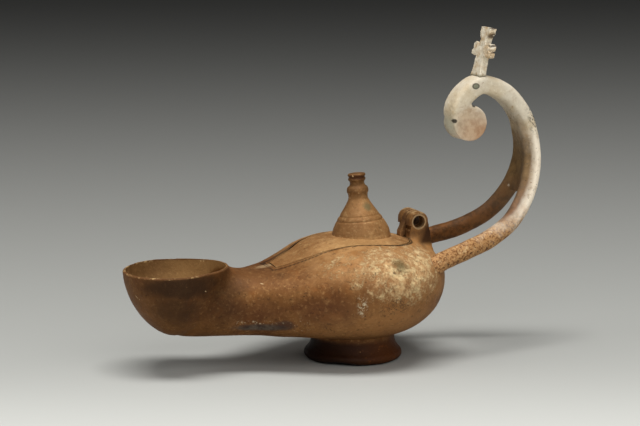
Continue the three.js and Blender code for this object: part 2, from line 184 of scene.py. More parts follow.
def slab(name, outline, width, middle=0.0):
    o = np.asarray(outline, float)
    count = len(o)
    verts = np.vstack([np.c_[o[:, 0], np.full(count, middle - width / 2), o[:, 1]],
                       np.c_[o[:, 0], np.full(count, middle + width / 2), o[:, 1]]])
    faces = [tuple(range(count)), tuple(range(count, 2 * count))]
    faces += [(j, (j + 1) % count, (j + 1) % count + count, j + count) for j in range(count)]
    return new_object(name, verts, faces)


def arc(x, z, radius, start, end, steps):
    angle = np.linspace(start, end, steps + 1)
    return [(x + radius * math.cos(a), z + radius * math.sin(a)) for a in angle]


# The ring foot: its rim's bead, the power of its flare and its overlap with the bowl
FOOT_R, FOOT_NECK, FOOT_H, FOOT_BEAD, FOOT_FLARE, FOOT_OVERLAP = 23.4, 19.9, 11.0, 2.4, 2.4, 3
RECESS_R, RECESS_STEP, RECESS_WALL, RECESS_H, RECESS_ROUND = 19, 2.4, 6.5, 7.5, 1


def foot():
    bead = arc(FOOT_R - FOOT_BEAD, FOOT_BEAD, FOOT_BEAD, -math.pi / 2, math.pi * 0.32, 20)
    profile = [(0.01, 0)] + bead
    ring_x, ring_z = bead[-1]
    for i in range(1, 25):
        share = i / 24
        profile.append((FOOT_NECK + (ring_x - FOOT_NECK) * (1 - share) ** FOOT_FLARE,
                        ring_z + (FOOT_H - ring_z) * share))
    profile += [(FOOT_NECK - WALL, FOOT_H + FOOT_OVERLAP), (0.01, FOOT_H + FOOT_OVERLAP)]
    return turned("foot", profile)


def foot_hollow():
    roof = FOOT_NECK - WALL - 0.6
    profile = [(0.01, -2), (RECESS_R, -2), (RECESS_R, 0), (roof, RECESS_STEP), (roof, RECESS_WALL)]
    return turned("foot_hollow", profile + [(roof - RECESS_ROUND, RECESS_H), (0.01, RECESS_H)])


# The hinge: its axis, radius and whole width, the knuckle between the lugs, and the open bores
HINGE_X, HINGE_H, HINGE_R, HINGE_W, KNUCKLE_W, HINGE_GAP = 30.9, 64.4, 4.9, 14.6, 4.2, 0.3
LUG_SPREAD, LUG_TOE_SPREAD, LUG_TOE, LUG_FOOTING = 3.6, 2.2, 4, 11
LUG_BORE, NEAR_BORE, KNUCKLE_BORE = 2.75, 3.0, 2.5


def lug(name, side):
    width = (HINGE_W - KNUCKLE_W) / 2 - HINGE_GAP
    middle = KNUCKLE_W / 2 + HINGE_GAP + width / 2
    low = BOWL_TOP - LUG_FOOTING
    rear = HINGE_X + HINGE_R
    outline = [(HINGE_X - HINGE_R, low), (rear + LUG_SPREAD, low), (rear + LUG_TOE_SPREAD, low + LUG_TOE)]
    outline += arc(HINGE_X, HINGE_H, HINGE_R, 0, math.pi, 40)
    return slab(name, outline, width, side * middle)


def round_about_hinge(name, radius, width, steps, middle=0.0):
    return slab(name, arc(HINGE_X, HINGE_H, radius, 0, 2 * math.pi, steps)[:-1], width, middle)


def bore(radius, side):
    """The open bore for the lost pin. With a side it reaches only to the middle of the hinge."""
    width = HINGE_W + 4 if side == 0 else HINGE_W / 2 + 2
    return round_about_hinge("bore", radius, width, 64, side * (HINGE_W / 4 + 1))


# The lid: its length, half widths, the lean and skew of its tongue, and the gaps round it
LID_FRONT, LID_WIDEST, LID_REAR = -44.0, 10.0, 26.0
LID_HALF, LID_REAR_HALF, LID_LEAN, LID_SKEW = 22.5, 7.5, 3.5, 0.3
LID_BELOW, LID_ABOVE, LID_SLOPE = 24, 3, 0.2
HOLE_GAPS = (0.38, 0.7)
PLATE_GAPS = (0, -0.55)


def lid_outline(grow, far_grow):
    long = LID_REAR - LID_WIDEST
    half = through([(LID_FRONT, 9.5), (-33, 13), (-22, 17.1), (-6, 20.7), (LID_WIDEST, LID_HALF),
                    (LID_WIDEST + long * 0.55, LID_HALF * 0.86),
                    (LID_WIDEST + long * 0.9, LID_REAR_HALF + (LID_HALF - LID_REAR_HALF) * 0.36),
                    (LID_REAR, LID_REAR_HALF)], 14)
    edge = []
    for side, g in ((1, far_grow), (-1, grow)):
        row = []
        for x, y in half:
            ahead = max(0.0, (LID_WIDEST - x) / (LID_WIDEST - LID_FRONT))
            lean = LID_LEAN * ahead if side > 0 else 0
            row.append((x + np.sign(x - LID_WIDEST) * g,
                        side * (y + g - lean) + LID_SKEW * math.sin(ahead * math.pi)))
        edge += row if side > 0 else row[::-1]
    return np.array(edge)


def lid_space(name, grow, far_grow):
    rings = []
    for z in (BOWL_TOP - LID_BELOW, BOWL_TOP + LID_ABOVE):
        slope = (z - BOWL_TOP) * LID_SLOPE
        o = lid_outline(grow + slope, far_grow + slope)
        rings.append(np.c_[o, np.full(len(o), z)])
    return loft(name, rings)


# The knob: its place, height, foot and neck radius, how it leans, and its hollow's height
KNOB_X, KNOB_H, KNOB_R, KNOB_NECK_R, KNOB_SINK = 4.0, 29.3, 13.8, 4.6, 0.6
KNOB_TURN, KNOB_LEAN, KNOB_HOLLOW = -3, -3.6, 0.42
BELL_FOOT, BELL_RISE = 0.02, 0.58
# Grooves and the raised ring between them: share of the bell's height, width and depth
BELL_RINGS = ((.38, .014, .6), (.515, .014, .6), (.448, .03, -.12))
# The mouldings above the bell, as radius in millimetres and share of the knob's height
KNOB_MOULDINGS = (
    (4.55, .63), (4.6, .66), (4.75, .68), (5.05, .698), (5.15, .715), (5.1, .74), (4.95, .765),
    (4.5, .785), (3.8, .803), (3.5, .82), (3.48, .85), (3.6, .872), (4.0, .89), (4.2, .903),
    (4.15, .918), (3.8, .928), (3.72, .94), (3.85, .95), (4.2, .962), (4.25, .98), (4.0, .995),
    (3.6, 1.0), (0.01, 1.0),
)


def knob_profile():
    rows = [(0.01, -4), (KNOB_R + 0.5, -4), (KNOB_R + 0.3, -1), (KNOB_R, 0.6)]
    for i in range(4, 91):
        share = i / 90
        r = KNOB_NECK_R + (KNOB_R - KNOB_NECK_R) * (1 - share ** 1.5) ** 1.3
        for place, width, depth in BELL_RINGS:
            r -= depth * math.exp(-((share - place) / width) ** 2)
        rows.append((r, KNOB_H * (BELL_FOOT + BELL_RISE * share)))
    rows += [(r, KNOB_H * share) for r, share in KNOB_MOULDINGS]
    return rows


def place_knob(obj):
    turn = Matrix.Rotation(math.radians(KNOB_TURN), 4, "X")
    lean = Matrix.Rotation(math.radians(KNOB_LEAN), 4, "Y")
    obj.data.transform(Matrix.Translation((KNOB_X, 0, BOWL_TOP - KNOB_SINK)) @ lean @ turn)
    return obj


TAB_LENGTH, TAB_T, TAB_DIP, TAB_TOE = 2.6, 2.8, 3, 1.2


def knuckle():
    low = BOWL_TOP - TAB_DIP
    front = LID_REAR - TAB_LENGTH
    outline = [(front, low), (LID_REAR - TAB_TOE, low), (HINGE_X - HINGE_R * 0.5, HINGE_H - HINGE_R),
               (HINGE_X, HINGE_H), (HINGE_X - HINGE_R, HINGE_H), (front, low + TAB_T)]
    tab = slab("tab", outline, KNUCKLE_W)
    eye = round_about_hinge("eye", HINGE_R, KNUCKLE_W, 64)
    return join("knuckle", [tab, eye])


# The handle: where its arms meet the bowl, how far back it reaches and how high
ROOT_R, ROOT_ANGLE, ROOT_Z = 41.8, math.radians(37.6), 47.3
ROOT_X, ROOT_Y = ROOT_R * math.cos(ROOT_ANGLE), ROOT_R * math.sin(ROOT_ANGLE)
REACH, TOP = 90.9, 128.1


def handle_at(back, rise, spread):
    return (ROOT_X + (REACH - ROOT_X) * back, ROOT_Y * spread, ROOT_Z + (TOP - ROOT_Z) * rise)


ARM = [handle_at(*share) for share in (
    (-.13, -.05, 1.05), (0, 0, 1), (.12, .026, .94), (.285, .058, .85), (.518, .106, .7), (.753, .199, .54),
    (.916, .343, .386), (.995, .504, .268), (.998, .64, .197), (.95, .781, .15), (.884, .865, .13))]
ARM_W, ARM_T, ARM_ROLL, ARM_FULL = 7, 8.8, math.radians(35), 2.3
PAD_SHARE, PAD_W, PAD_T = 0.24, 2.4, 0.6


def sweep(name, stations, steps, sides, size_at):
    rows = through(stations, steps)
    last = len(rows) - 1
    angle = np.arange(sides) / sides * 2 * math.pi
    rings = []
    for i, row in enumerate(rows):
        before, after = rows[max(i - 1, 0)], rows[min(i + 1, last)]
        out = np.array([after[2] - before[2], 0, before[0] - after[0]])
        out /= np.linalg.norm(out)
        width, thickness, roll, fullness = size_at(i / last)
        up = out * math.cos(roll) + np.array([0, math.sin(roll), 0])
        across = np.array([0, math.cos(roll), 0]) - out * math.sin(roll)
        a = spow(np.cos(angle), 2 / fullness) * width / 2
        b = spow(np.sin(angle), 2 / fullness) * thickness / 2
        rings.append(row + a[:, None] * across + b[:, None] * up)
    return loft(name, rings)


def arm(name, side):
    def size_at(share):
        flare = max(0.0, 1 - share / PAD_SHARE) ** 2
        roll = side * ARM_ROLL * (1 - share) ** 0.7
        return ARM_W + PAD_W * flare, ARM_T + PAD_T * flare, roll, ARM_FULL
    return sweep(name, [(x, side * y, z) for x, y, z in ARM], 14, 40, size_at)


def web():
    """The metal that joins the two arms where they come together."""
    joined = ARM[-5:]
    spread = through([(2 * y,) for _, y, _ in joined], 60)

    def size_at(share):
        apart = float(spread[int(round(share * (len(spread) - 1)))][0])
        return apart + 2.8, ARM_W * min(1, .2 + share * 3), 0, 3
    return sweep("web", [(x, 0, z) for x, _, z in joined], 14, 40, size_at)


VOL_X, VOL_Z, VOL_R = 58.0, 110.3, 8.6
BAND_W, BAND_END_W, BAND_T, BAND_SWELL, DISC_W = 15.4, 13.0, 8.4, 0.6, 12.6


def volute():
    stations = [handle_at(back, rise, 0) for back, rise in (
        (.985, .7), (.95, .781), (.884, .865), (.77, .948), (.648, .992), (.539, 1))]
    stations += [(VOL_X + VOL_R * a, 0, VOL_Z + VOL_R * u)
                 for a, u in ((.08, 1.74), (-.38, 1.24), (-.6, .66), (-.5, 0))]

    def size_at(share):
        width = BAND_W - (BAND_W - BAND_END_W) * min(1, share * 2)
        thickness = (BAND_T + BAND_SWELL * math.sin(share * math.pi)) * min(1, .5 + share * 5)
        return width, thickness, 0, 2.8 + 2.0 * min(1, share * 1.6)
    band = sweep("band", stations, 14, 56, size_at)
    disc = slab("disc", arc(VOL_X, VOL_Z, VOL_R, 0, 2 * math.pi, 96)[:-1], DISC_W)
    return [band, disc]


# Half of the cross's outline, in millimetres from the middle of its foot: across and up
CROSS_SIDE = [(4, -.6), (5.2, .6), (5.0, 1.8), (4.4, 4), (3.7, 11), (6.6, 10.6), (9.2, 11.2), (9.3, 13.2),
              (8.0, 13.9), (9.0, 14.6), (8.9, 16.6), (6.8, 17.5), (3.2, 16.6), (2.8, 19.2), (5.2, 22.4),
              (5.1, 25)]
CROSS_X, CROSS_Z, CROSS_T, CROSS_LEAN = 64.2, TOP + 3, 3.4, math.radians(13.5)


def cross():
    o = np.array(CROSS_SIDE + [(-y, z) for y, z in CROSS_SIDE][::-1])
    count = len(o)
    verts = np.vstack([np.c_[np.full(count, -CROSS_T / 2), o], np.c_[np.full(count, CROSS_T / 2), o]])
    faces = [tuple(range(count)), tuple(range(count, 2 * count))]
    faces += [(j, (j + 1) % count, (j + 1) % count + count, j + count) for j in range(count)]
    obj = new_object("cross", verts, faces)
    obj.data.transform(Matrix.Translation((CROSS_X, 0, CROSS_Z)) @ Matrix.Rotation(CROSS_LEAN, 4, "Y"))
    return obj


def join(name, objects):
    """One object from several, overlaps united."""
    base = objects[0]
    for other in objects[1:]:
        boolean(base, other, "UNION")
    base.name = name
    return base


def boolean(obj, other, how, keep=False):
    mod = obj.modifiers.new("b", "BOOLEAN")
    mod.operation = how
    mod.solver = "MANIFOLD"
    mod.object = other
    apply_all(obj)
    if not keep:
        bpy.data.objects.remove(other)
    return obj


def apply_all(obj):
    bpy.context.view_layer.update()
    graph = bpy.context.evaluated_depsgraph_get()
    mesh = bpy.data.meshes.new_from_object(obj.evaluated_get(graph))
    obj.modifiers.clear()
    old = obj.data
    obj.data = mesh
    bpy.data.meshes.remove(old)


def remesh(obj, voxel):
    mod = obj.modifiers.new("r", "REMESH")
    mod.mode = "VOXEL"
    mod.voxel_size = voxel
    apply_all(obj)


def coords(mesh):
    co = np.empty(len(mesh.vertices) * 3)
    mesh.vertices.foreach_get("co", co)
    return co.reshape(-1, 3)


def normals(mesh):
    no = np.empty(len(mesh.vertices) * 3)
    mesh.vertices.foreach_get("normal", no)
    return no.reshape(-1, 3)


def put(mesh, co):
    mesh.vertices.foreach_set("co", co.ravel())
    mesh.update()


def edge_ends(mesh):
    edges = np.empty(len(mesh.edges) * 2, int)
    mesh.edges.foreach_get("vertices", edges)
    return edges.reshape(-1, 2).T


def to_neighbours(co, a, b):
    """From each point to the middle of the points that the edges a to b join it with."""
    count = np.bincount(np.r_[a, b], minlength=len(co))[:, None].clip(1)
    total = np.zeros_like(co)
    for k in range(3):
        total[:, k] = np.bincount(a, co[b, k], len(co)) + np.bincount(b, co[a, k], len(co))
    return total / count - co


def smooth(obj, rounds, lam=0.55, mu=-0.57):
    """Smoothing that keeps the volume: one step in and one step out each round."""
    a, b = edge_ends(obj.data)
    co = coords(obj.data)
    for _ in range(rounds):
        for step in (lam, mu):
            co += step * to_neighbours(co, a, b)
    put(obj.data, co)


def fill_creases(obj, mask, rounds):
    """Fillets: a point moves out along its normal while its neighbours lie further out than it does."""
    mesh = obj.data
    a, b = edge_ends(mesh)
    near = (mask[a] > 0.001) | (mask[b] > 0.001)
    a, b = a[near], b[near]
    co = coords(mesh)
    for i in range(rounds):
        if i % 10 == 0:
            put(mesh, co)
            no = normals(mesh)
        push = (to_neighbours(co, a, b) * no).sum(axis=1)
        co += (mask * np.maximum(push, 0))[:, None] * no
    put(mesh, co)


def band_mask(values, low, high, edge):
    """1 between low and high, falling to 0 over the edge width on both sides."""
    return np.clip((values - low) / edge, 0, 1) * np.clip((high - values) / edge, 0, 1)


def field(co, scale, seed, octaves=2):
    """Soft noise at each point, about -1 to 1, with features of the given size."""
    out = np.zeros(len(co))
    for k in range(octaves):
        q = co * (2 ** k / scale) + seed * 17.3
        out += np.array([noise.noise(Vector(p)) for p in q]) * 0.55 ** k
    return out


def displace(obj, amount):
    mesh = obj.data
    put(mesh, coords(mesh) + normals(mesh) * amount[:, None])


def blob(co, centre, radius):
    d = np.linalg.norm((co - np.array(centre)) / np.array(radius), axis=1)
    return np.clip(1.5 - d * 1.5, 0, 1)


def finish_piece(obj, name, node, body, material):
    """Puts a piece into the row frame, in metres, ties it to its body and hides its CAD node."""
    obj.name = obj.data.name = name
    obj.data.transform(Matrix.Scale(MM, 4) @ Matrix.Translation((SHIFT, 0, 0)))
    obj.data.materials.clear()
    obj.data.materials.append(material)
    obj.data.shade_smooth()
    obj.data.set_sharp_from_angle(angle=math.radians(42))
    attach(obj, body)
    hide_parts(node)
    return obj


# Voxel sizes, in millimetres, of the pieces as they are remeshed
INSIDE_VOXEL, BODY_VOXEL, KNOB_VOXEL = 1.0, 0.6, 0.3
KNUCKLE_VOXEL, HANDLE_VOXEL, CROSS_VOXEL = 0.25, 0.5, 0.26


def inner_space():
    inside = bowl_and_neck("inside", WALL, 96, 28, 8)
    boolean(inside, cup("cup_inside", RIM_WALL, WALL, 6), "UNION")
    remesh(inside, INSIDE_VOXEL)
    smooth(inside, 4)
    return inside


def crust_share(co):
    """Where the rough crust lies, on the rear shoulder of the near side and a little on the far side."""
    near = blob(co, (10, -36, 44), (28, 16, 15)) + 0.6 * blob(co, (24, -22, 52), (14, 16, 8))
    return near + 0.5 * blob(co, (14, 34, 42), (22, 14, 12))


# Shallow dents in the casting, and swellings with a negative depth: centre, radius and depth
BODY_DENTS = (
    ((-28, -29, 34), (13, 8, 7), 0.35), ((-84, -23, 33), (14, 8, 6), 0.3),
    ((-52, -17, 30), (10, 7, 7), -0.3), ((0, -43, 40), (16, 8, 8), -0.25),
)


def outer_body():
    outside = bowl_and_neck("body", 0)
    for part in (cup("cup", 0, 0, 0), foot(), lug("lug_near", -1), lug("lug_far", 1)):
        boolean(outside, part, "UNION")
    remesh(outside, BODY_VOXEL)
    smooth(outside, 3)
    co = coords(outside.data)
    neck = band_mask(co[:, 0], -80, -52, 8) * (co[:, 2] < 48.6)
    fill_creases(outside, neck, 110)
    hinge = (band_mask(co[:, 0], 22, 44, 4) * band_mask(co[:, 2], 48, 62, 4)
             * band_mask(np.abs(co[:, 1]), 6.4, 14, 1.5))
    fill_creases(outside, hinge, 16)
    co = coords(outside.data)
    calm = 1 - 0.75 * np.clip((co[:, 2] - 58) / 3, 0, 1)
    amount = 0.17 * field(co, 26, 1) + 0.07 * field(co, 7, 2) + 0.035 * field(co, 2.2, 3, 1)
    # The crust stands proud in flakes, and small pits lie in it and round it.
    crust = np.clip(crust_share(co) * 1.6, 0, 1)
    amount += 0.2 * np.clip(field(co, 4, 4, 3) * 4 - 0.2, 0, 1) * crust
    amount -= 0.25 * np.clip(field(co, 2.6, 5, 1) * 4 - 1.6, 0, 1) * (0.25 + crust)
    for centre, radius, depth in BODY_DENTS:
        amount -= depth * blob(co, centre, radius) ** 2
    displace(outside, amount * calm)
    bend_foot(outside.data)
    return outside


BEND_ANGLE, BEND_WIDTH, BEND_RISE = math.radians(128), 0.32, 1.3


def bend_foot(mesh):
    """The foot's rim is bent up a little at its left front."""
    co = coords(mesh)
    angle = np.arctan2(co[:, 1], co[:, 0])
    r = np.hypot(co[:, 0], co[:, 1])
    from_bend = (angle + BEND_ANGLE + math.pi) % (2 * math.pi) - math.pi
    bent = np.exp(-(from_bend / BEND_WIDTH) ** 2)
    low = np.clip(1 - co[:, 2] / 5, 0, 1) * np.clip((r - 18) / 3, 0, 1)
    co[:, 2] += BEND_RISE * bent * low
    co[:, 2] = np.where(co[:, 2] < 3, np.maximum(co[:, 2], 0), co[:, 2])
    put(mesh, co)


def copy_of(obj):
    twin = obj.copy()
    twin.data = obj.data.copy()
    bpy.context.scene.collection.objects.link(twin)
    return twin


# Room round the knuckle in its slot, across it, and between the lid's plate and the lugs
SLOT_GAP, SLOT_PLAY, SWING_GAP = 0.4, 0.55, 1.1


def build_body_and_lid():
    """The lid's plate is cut from the same cast surface as the body, so the two are flush."""
    body = outer_body()
    inside = inner_space()
    lid = copy_of(body)
    tree = BVHTree.FromPolygons(coords(inside.data).tolist(),
                                [tuple(f.vertices) for f in inside.data.polygons])
    boolean(body, inside, "DIFFERENCE", keep=True)
    slot = round_about_hinge("slot", HINGE_R + SLOT_GAP, KNUCKLE_W + SLOT_PLAY, 48)
    for part in (foot_hollow(), lid_space("lid_hole", *HOLE_GAPS), slot, bore(LUG_BORE, 0),
                 bore(NEAR_BORE, -1)):
        boolean(body, part, "DIFFERENCE")
    boolean(lid, inside, "DIFFERENCE")
    boolean(lid, lid_space("space", *PLATE_GAPS), "INTERSECT")
    boolean(lid, round_about_hinge("swing", HINGE_R + SWING_GAP, HINGE_W + 4, 48), "DIFFERENCE")
    knob = turned("knob", knob_profile())
    remesh(knob, KNOB_VOXEL)
    co = coords(knob.data)
    displace(knob, 0.07 * field(co, 9, 11) + 0.05 * field(co, 3, 12) + 0.03 * field(co, 1.2, 13, 1))
    place_knob(knob)
    boolean(knob, bowl_and_neck("inner", WALL, 96, 28, 8), "DIFFERENCE")
    boolean(lid, knob, "UNION")
    roof = KNOB_H * KNOB_HOLLOW
    hollow = place_knob(turned("hollow", [(0.01, -8), (KNOB_R - 3, -8), (KNOB_R - 3, 0),
                                          (KNOB_NECK_R * 0.6, roof), (0.01, roof)]))
    boolean(lid, hollow, "DIFFERENCE")
    eye = knuckle()
    remesh(eye, KNUCKLE_VOXEL)
    smooth(eye, 4)
    boolean(lid, eye, "UNION")
    boolean(lid, bore(KNUCKLE_BORE, 0), "DIFFERENCE")
    mark_inside(body, tree)
    return body, lid


def build_handle():
    parts = [arm("arm_near", -1), arm("arm_far", 1), web()] + volute()
    handle = join("handle", parts)
    remesh(handle, HANDLE_VOXEL)
    smooth(handle, 5)
    co = coords(handle.data)
    hand = band_mask(co[:, 0], 70, 110, 8) * band_mask(co[:, 2], 74, 134, 10)
    fill_creases(handle, hand, 120)
    smooth(handle, 3)
    co = coords(handle.data)
    amount = 0.18 * field(co, 18, 21) + 0.07 * field(co, 5, 22) + 0.035 * field(co, 1.8, 23, 1)
    root = np.clip((62 - co[:, 0]) / 20, 0, 1)
    amount -= 0.25 * np.clip(field(co, 2.4, 24, 2) * 4 - 1.0, 0, 1) * root
    displace(handle, amount)
    boolean(handle, bowl_and_neck("cut", -0.12), "DIFFERENCE")
    return handle


CROSS_DENTS = (
    ((72.5, -3.6, 153.4), (3, 1.8, 2.2), 1.2), ((67, -8.6, 147.0), (3, 2.6, .8), .7),
    ((67, -7.6, 143.6), (3, 2.2, .7), .5), ((66.5, 0, 146), (2.5, 1.6, 1.6), .4),
)


def build_cross():
    obj = cross()
    boolean(obj, join("cut", volute()), "DIFFERENCE")
    remesh(obj, CROSS_VOXEL)
    smooth(obj, 3)
    co = coords(obj.data)
    amount = 0.22 * field(co, 4.5, 31) + 0.1 * field(co, 1.6, 32)
    for centre, radius, depth in CROSS_DENTS:
        amount -= depth * blob(co, centre, radius)
    displace(obj, amount)
    return obj


def lin(*tone):
    """A linear colour from red, green and blue as a screen gives them, 0 to 255."""
    return tuple(c / 255 / 12.92 if c <= 10 else ((c / 255 + 0.055) / 1.055) ** 2.4 for c in tone) + (1.0,)


class Graph:
    """A short way to write a node material."""

    def __init__(self, name):
        self.mat = bpy.data.materials.new(name)
        self.mat.use_nodes = True
        self.tree = self.mat.node_tree
        self.tree.nodes.clear()
        self.out = self.add("ShaderNodeOutputMaterial")
        self.bsdf = self.add("ShaderNodeBsdfPrincipled")
        self.link(self.bsdf.outputs[0], self.out.inputs[0])
        coord = self.add("ShaderNodeTexCoord")
        self.pos = self.vector("MULTIPLY", coord.outputs["Object"], (1 / MM,) * 3)
        self.normal = coord.outputs["Normal"]
        split = self.add("ShaderNodeSeparateXYZ")
        self.link(self.pos, split.inputs[0])
        self.x, self.y, self.z = split.outputs

    def add(self, kind):
        return self.tree.nodes.new(kind)

    def link(self, a, b):
        if isinstance(a, bpy.types.NodeSocket):
            self.tree.links.new(a, b)
        else:
            b.default_value = a

    def vector(self, op, a, b=(0, 0, 0)):
        n = self.add("ShaderNodeVectorMath")
        n.operation = op
        self.link(a, n.inputs[0])
        self.link(b, n.inputs[1])
        return n.outputs["Value" if op in ("LENGTH", "DISTANCE", "DOT_PRODUCT") else "Vector"]

    def math(self, op, a, b=0.0, c=0.0, clamp=False):
        n = self.add("ShaderNodeMath")
        n.operation = op
        n.use_clamp = clamp
        for value, socket in zip((a, b, c), n.inputs):
            self.link(value, socket)
        return n.outputs[0]

    def ramp(self, value, low, high):
        """0 below low, 1 above high, smooth between. low may be above high."""
        n = self.add("ShaderNodeMapRange")
        n.interpolation_type = "SMOOTHSTEP"
        flip = low > high
        self.link(value, n.inputs["Value"])
        n.inputs["From Min"].default_value = min(low, high)
        n.inputs["From Max"].default_value = max(low, high)
        n.inputs["To Min"].default_value = 1.0 if flip else 0.0
        n.inputs["To Max"].default_value = 0.0 if flip else 1.0
        return n.outputs["Result"]

    def noise(self, size, detail=4.0, rough=0.55, seed=0.0, warp=0.0, vector=None):
        n = self.add("ShaderNodeTexNoise")
        n.noise_dimensions = "4D"
        self.link(vector or self.pos, n.inputs["Vector"])
        n.inputs["W"].default_value = seed
        n.inputs["Scale"].default_value = 1.0 / size
        n.inputs["Detail"].default_value = detail
        n.inputs["Roughness"].default_value = rough
        n.inputs["Distortion"].default_value = warp
        return n.outputs["Fac"]

    def cells(self, size, seed=0.0, feature="F1"):
        n = self.add("ShaderNodeTexVoronoi")
        n.voronoi_dimensions = "4D"
        n.feature = feature
        self.link(self.pos, n.inputs["Vector"])
        n.inputs["W"].default_value = seed
        n.inputs["Scale"].default_value = 1.0 / size
        return n.outputs["Distance"]

    def mix(self, mask, a, b):
        n = self.add("ShaderNodeMix")
        n.data_type = "RGBA"
        self.link(mask, n.inputs[0])
        self.link(a, n.inputs[6])
        self.link(b, n.inputs[7])
        return n.outputs[2]

    def patches(self, size, seed, low, high, detail=5.0, rough=0.65, warp=0.0):
        """Uneven patches of about the given size: 0 where the noise is below low, 1 above high."""
        return self.ramp(self.noise(size, detail, rough, seed, warp), low, high)

    def over(self, colour, tone, *masks):
        """The colour with a tone laid over it where all masks are high."""
        return self.mix(self.times(*masks), colour, tone)

    def spot(self, centre, radius, edge=0.35, ragged=0.0, size=3.0, seed=0.0):
        """A soft-edged ellipsoid mask, with an edge broken up by noise."""
        size_of = radius if hasattr(radius, "__len__") else (radius,) * 3
        d = self.vector("LENGTH", self.vector("DIVIDE", self.vector("SUBTRACT", self.pos, centre), size_of))
        if ragged:
            waver = self.math("SUBTRACT", self.noise(size, seed=seed), 0.5)
            d = self.math("ADD", d, self.math("MULTIPLY", waver, ragged * 2))
        return self.ramp(d, 1 + edge, 1 - edge)

    def spots(self, *rows):
        """The strongest of several spots, each given as for spot with its share in front."""
        return self.most(*(self.times(self.spot(*row[1:]), row[0]) for row in rows))

    def line(self, start, end, radius):
        """A thin straight scratch from start to end."""
        a, b = Vector(start), Vector(end)
        along = (b - a).normalized()
        rel = self.vector("SUBTRACT", self.pos, a)
        t = self.math("MAXIMUM", self.vector("DOT_PRODUCT", rel, along), 0.0)
        t = self.math("MINIMUM", t, (b - a).length)
        off = self.vector("DISTANCE", rel, self.vector("MULTIPLY", t, along))
        return self.ramp(off, radius * 1.5, radius * 0.5)

    def facing(self, direction):
        return self.vector("DOT_PRODUCT", self.normal, Vector(direction).normalized())

    def pointiness(self):
        return self.add("ShaderNodeNewGeometry").outputs["Pointiness"]

    def value_of(self, name):
        n = self.add("ShaderNodeAttribute")
        n.attribute_name = name
        return n.outputs["Fac"]

    def closed_in(self, distance):
        """1 deep in a crevice, 0 in the open, looking as far as the given distance."""
        n = self.add("ShaderNodeAmbientOcclusion")
        n.samples = 8
        n.inputs["Distance"].default_value = distance * MM
        return self.math("SUBTRACT", 1.0, n.outputs["AO"])

    def times(self, *values):
        out = values[0]
        for value in values[1:]:
            out = self.math("MULTIPLY", out, value)
        return out

    def lay(self, tone, *masks):
        """Lays a tone over the material's own colour."""
        self.colour = self.over(self.colour, tone, *masks)

    def most(self, *values):
        out = values[0]
        for value in values[1:]:
            out = self.math("MAXIMUM", out, value)
        return out

    def surface(self, roughness, metal, heights):
        """Ends the material. heights are (height value, millimetres of relief)."""
        self.link(self.colour, self.bsdf.inputs["Base Color"])
        self.link(roughness, self.bsdf.inputs["Roughness"])
        self.link(metal, self.bsdf.inputs["Metallic"])
        self.bsdf.inputs["Specular IOR Level"].default_value = 0.18
        normal = None
        for value, depth in heights:
            bump = self.add("ShaderNodeBump")
            bump.inputs["Strength"].default_value = 1.0
            bump.inputs["Distance"].default_value = depth * MM
            self.link(value, bump.inputs["Height"])
            if normal:
                self.link(normal, bump.inputs["Normal"])
            normal = bump.outputs[0]
        if normal:
            self.link(normal, self.bsdf.inputs["Normal"])
        return self.mat


def wear_sheen_and_shade(g, colour, light, dark, rub_and_sheen=0.8, dirt_and_shade=0.85):
    """Edges rubbed light, which also stands as a painted highlight, and hollows and crevices darkened with
    dark dirt and with painted shade from an occlusion test.
    """
    p = g.pointiness()
    colour = g.over(colour, light, g.ramp(p, 0.53, 0.60),
                    g.patches(4, 41, 0.35, 0.6, detail=4.0, rough=0.55), rub_and_sheen)
    # Painted shade: hollows and places closed in by nearby surfaces are darkened.
    hollow = g.most(g.ramp(p, 0.47, 0.42), g.ramp(g.closed_in(2.4), 0.42, 0.8))
    return g.over(colour, dark, hollow, dirt_and_shade)


def speckle(g, size, share, seed):
    """Sparse small grains: one in each noise cell, kept where a second noise is high."""
    return g.times(g.ramp(g.cells(size, seed), 0.36, 0.22),
                   g.patches(size * 3.1, seed + 0.5, 0.72 - share * 0.3, 0.78 - share * 0.3, detail=2,
                             rough=0.6))


def grain(g, colour, light, dark, seed, amount=0.5):
    """Fine uneven tone in two sizes, as bare cast bronze under a thin patina has."""
    colour = g.over(colour, light, g.patches(1.5, seed, 0.50, 0.74, rough=0.7), amount)
    colour = g.over(colour, dark, g.patches(1.9, seed + 1, 0.52, 0.74, rough=0.7), amount)
    colour = g.over(colour, light, speckle(g, 1.1, 0.4, seed + 2), amount)
    return g.over(colour, dark, speckle(g, 1.3, 0.5, seed + 3), amount * 1.2)


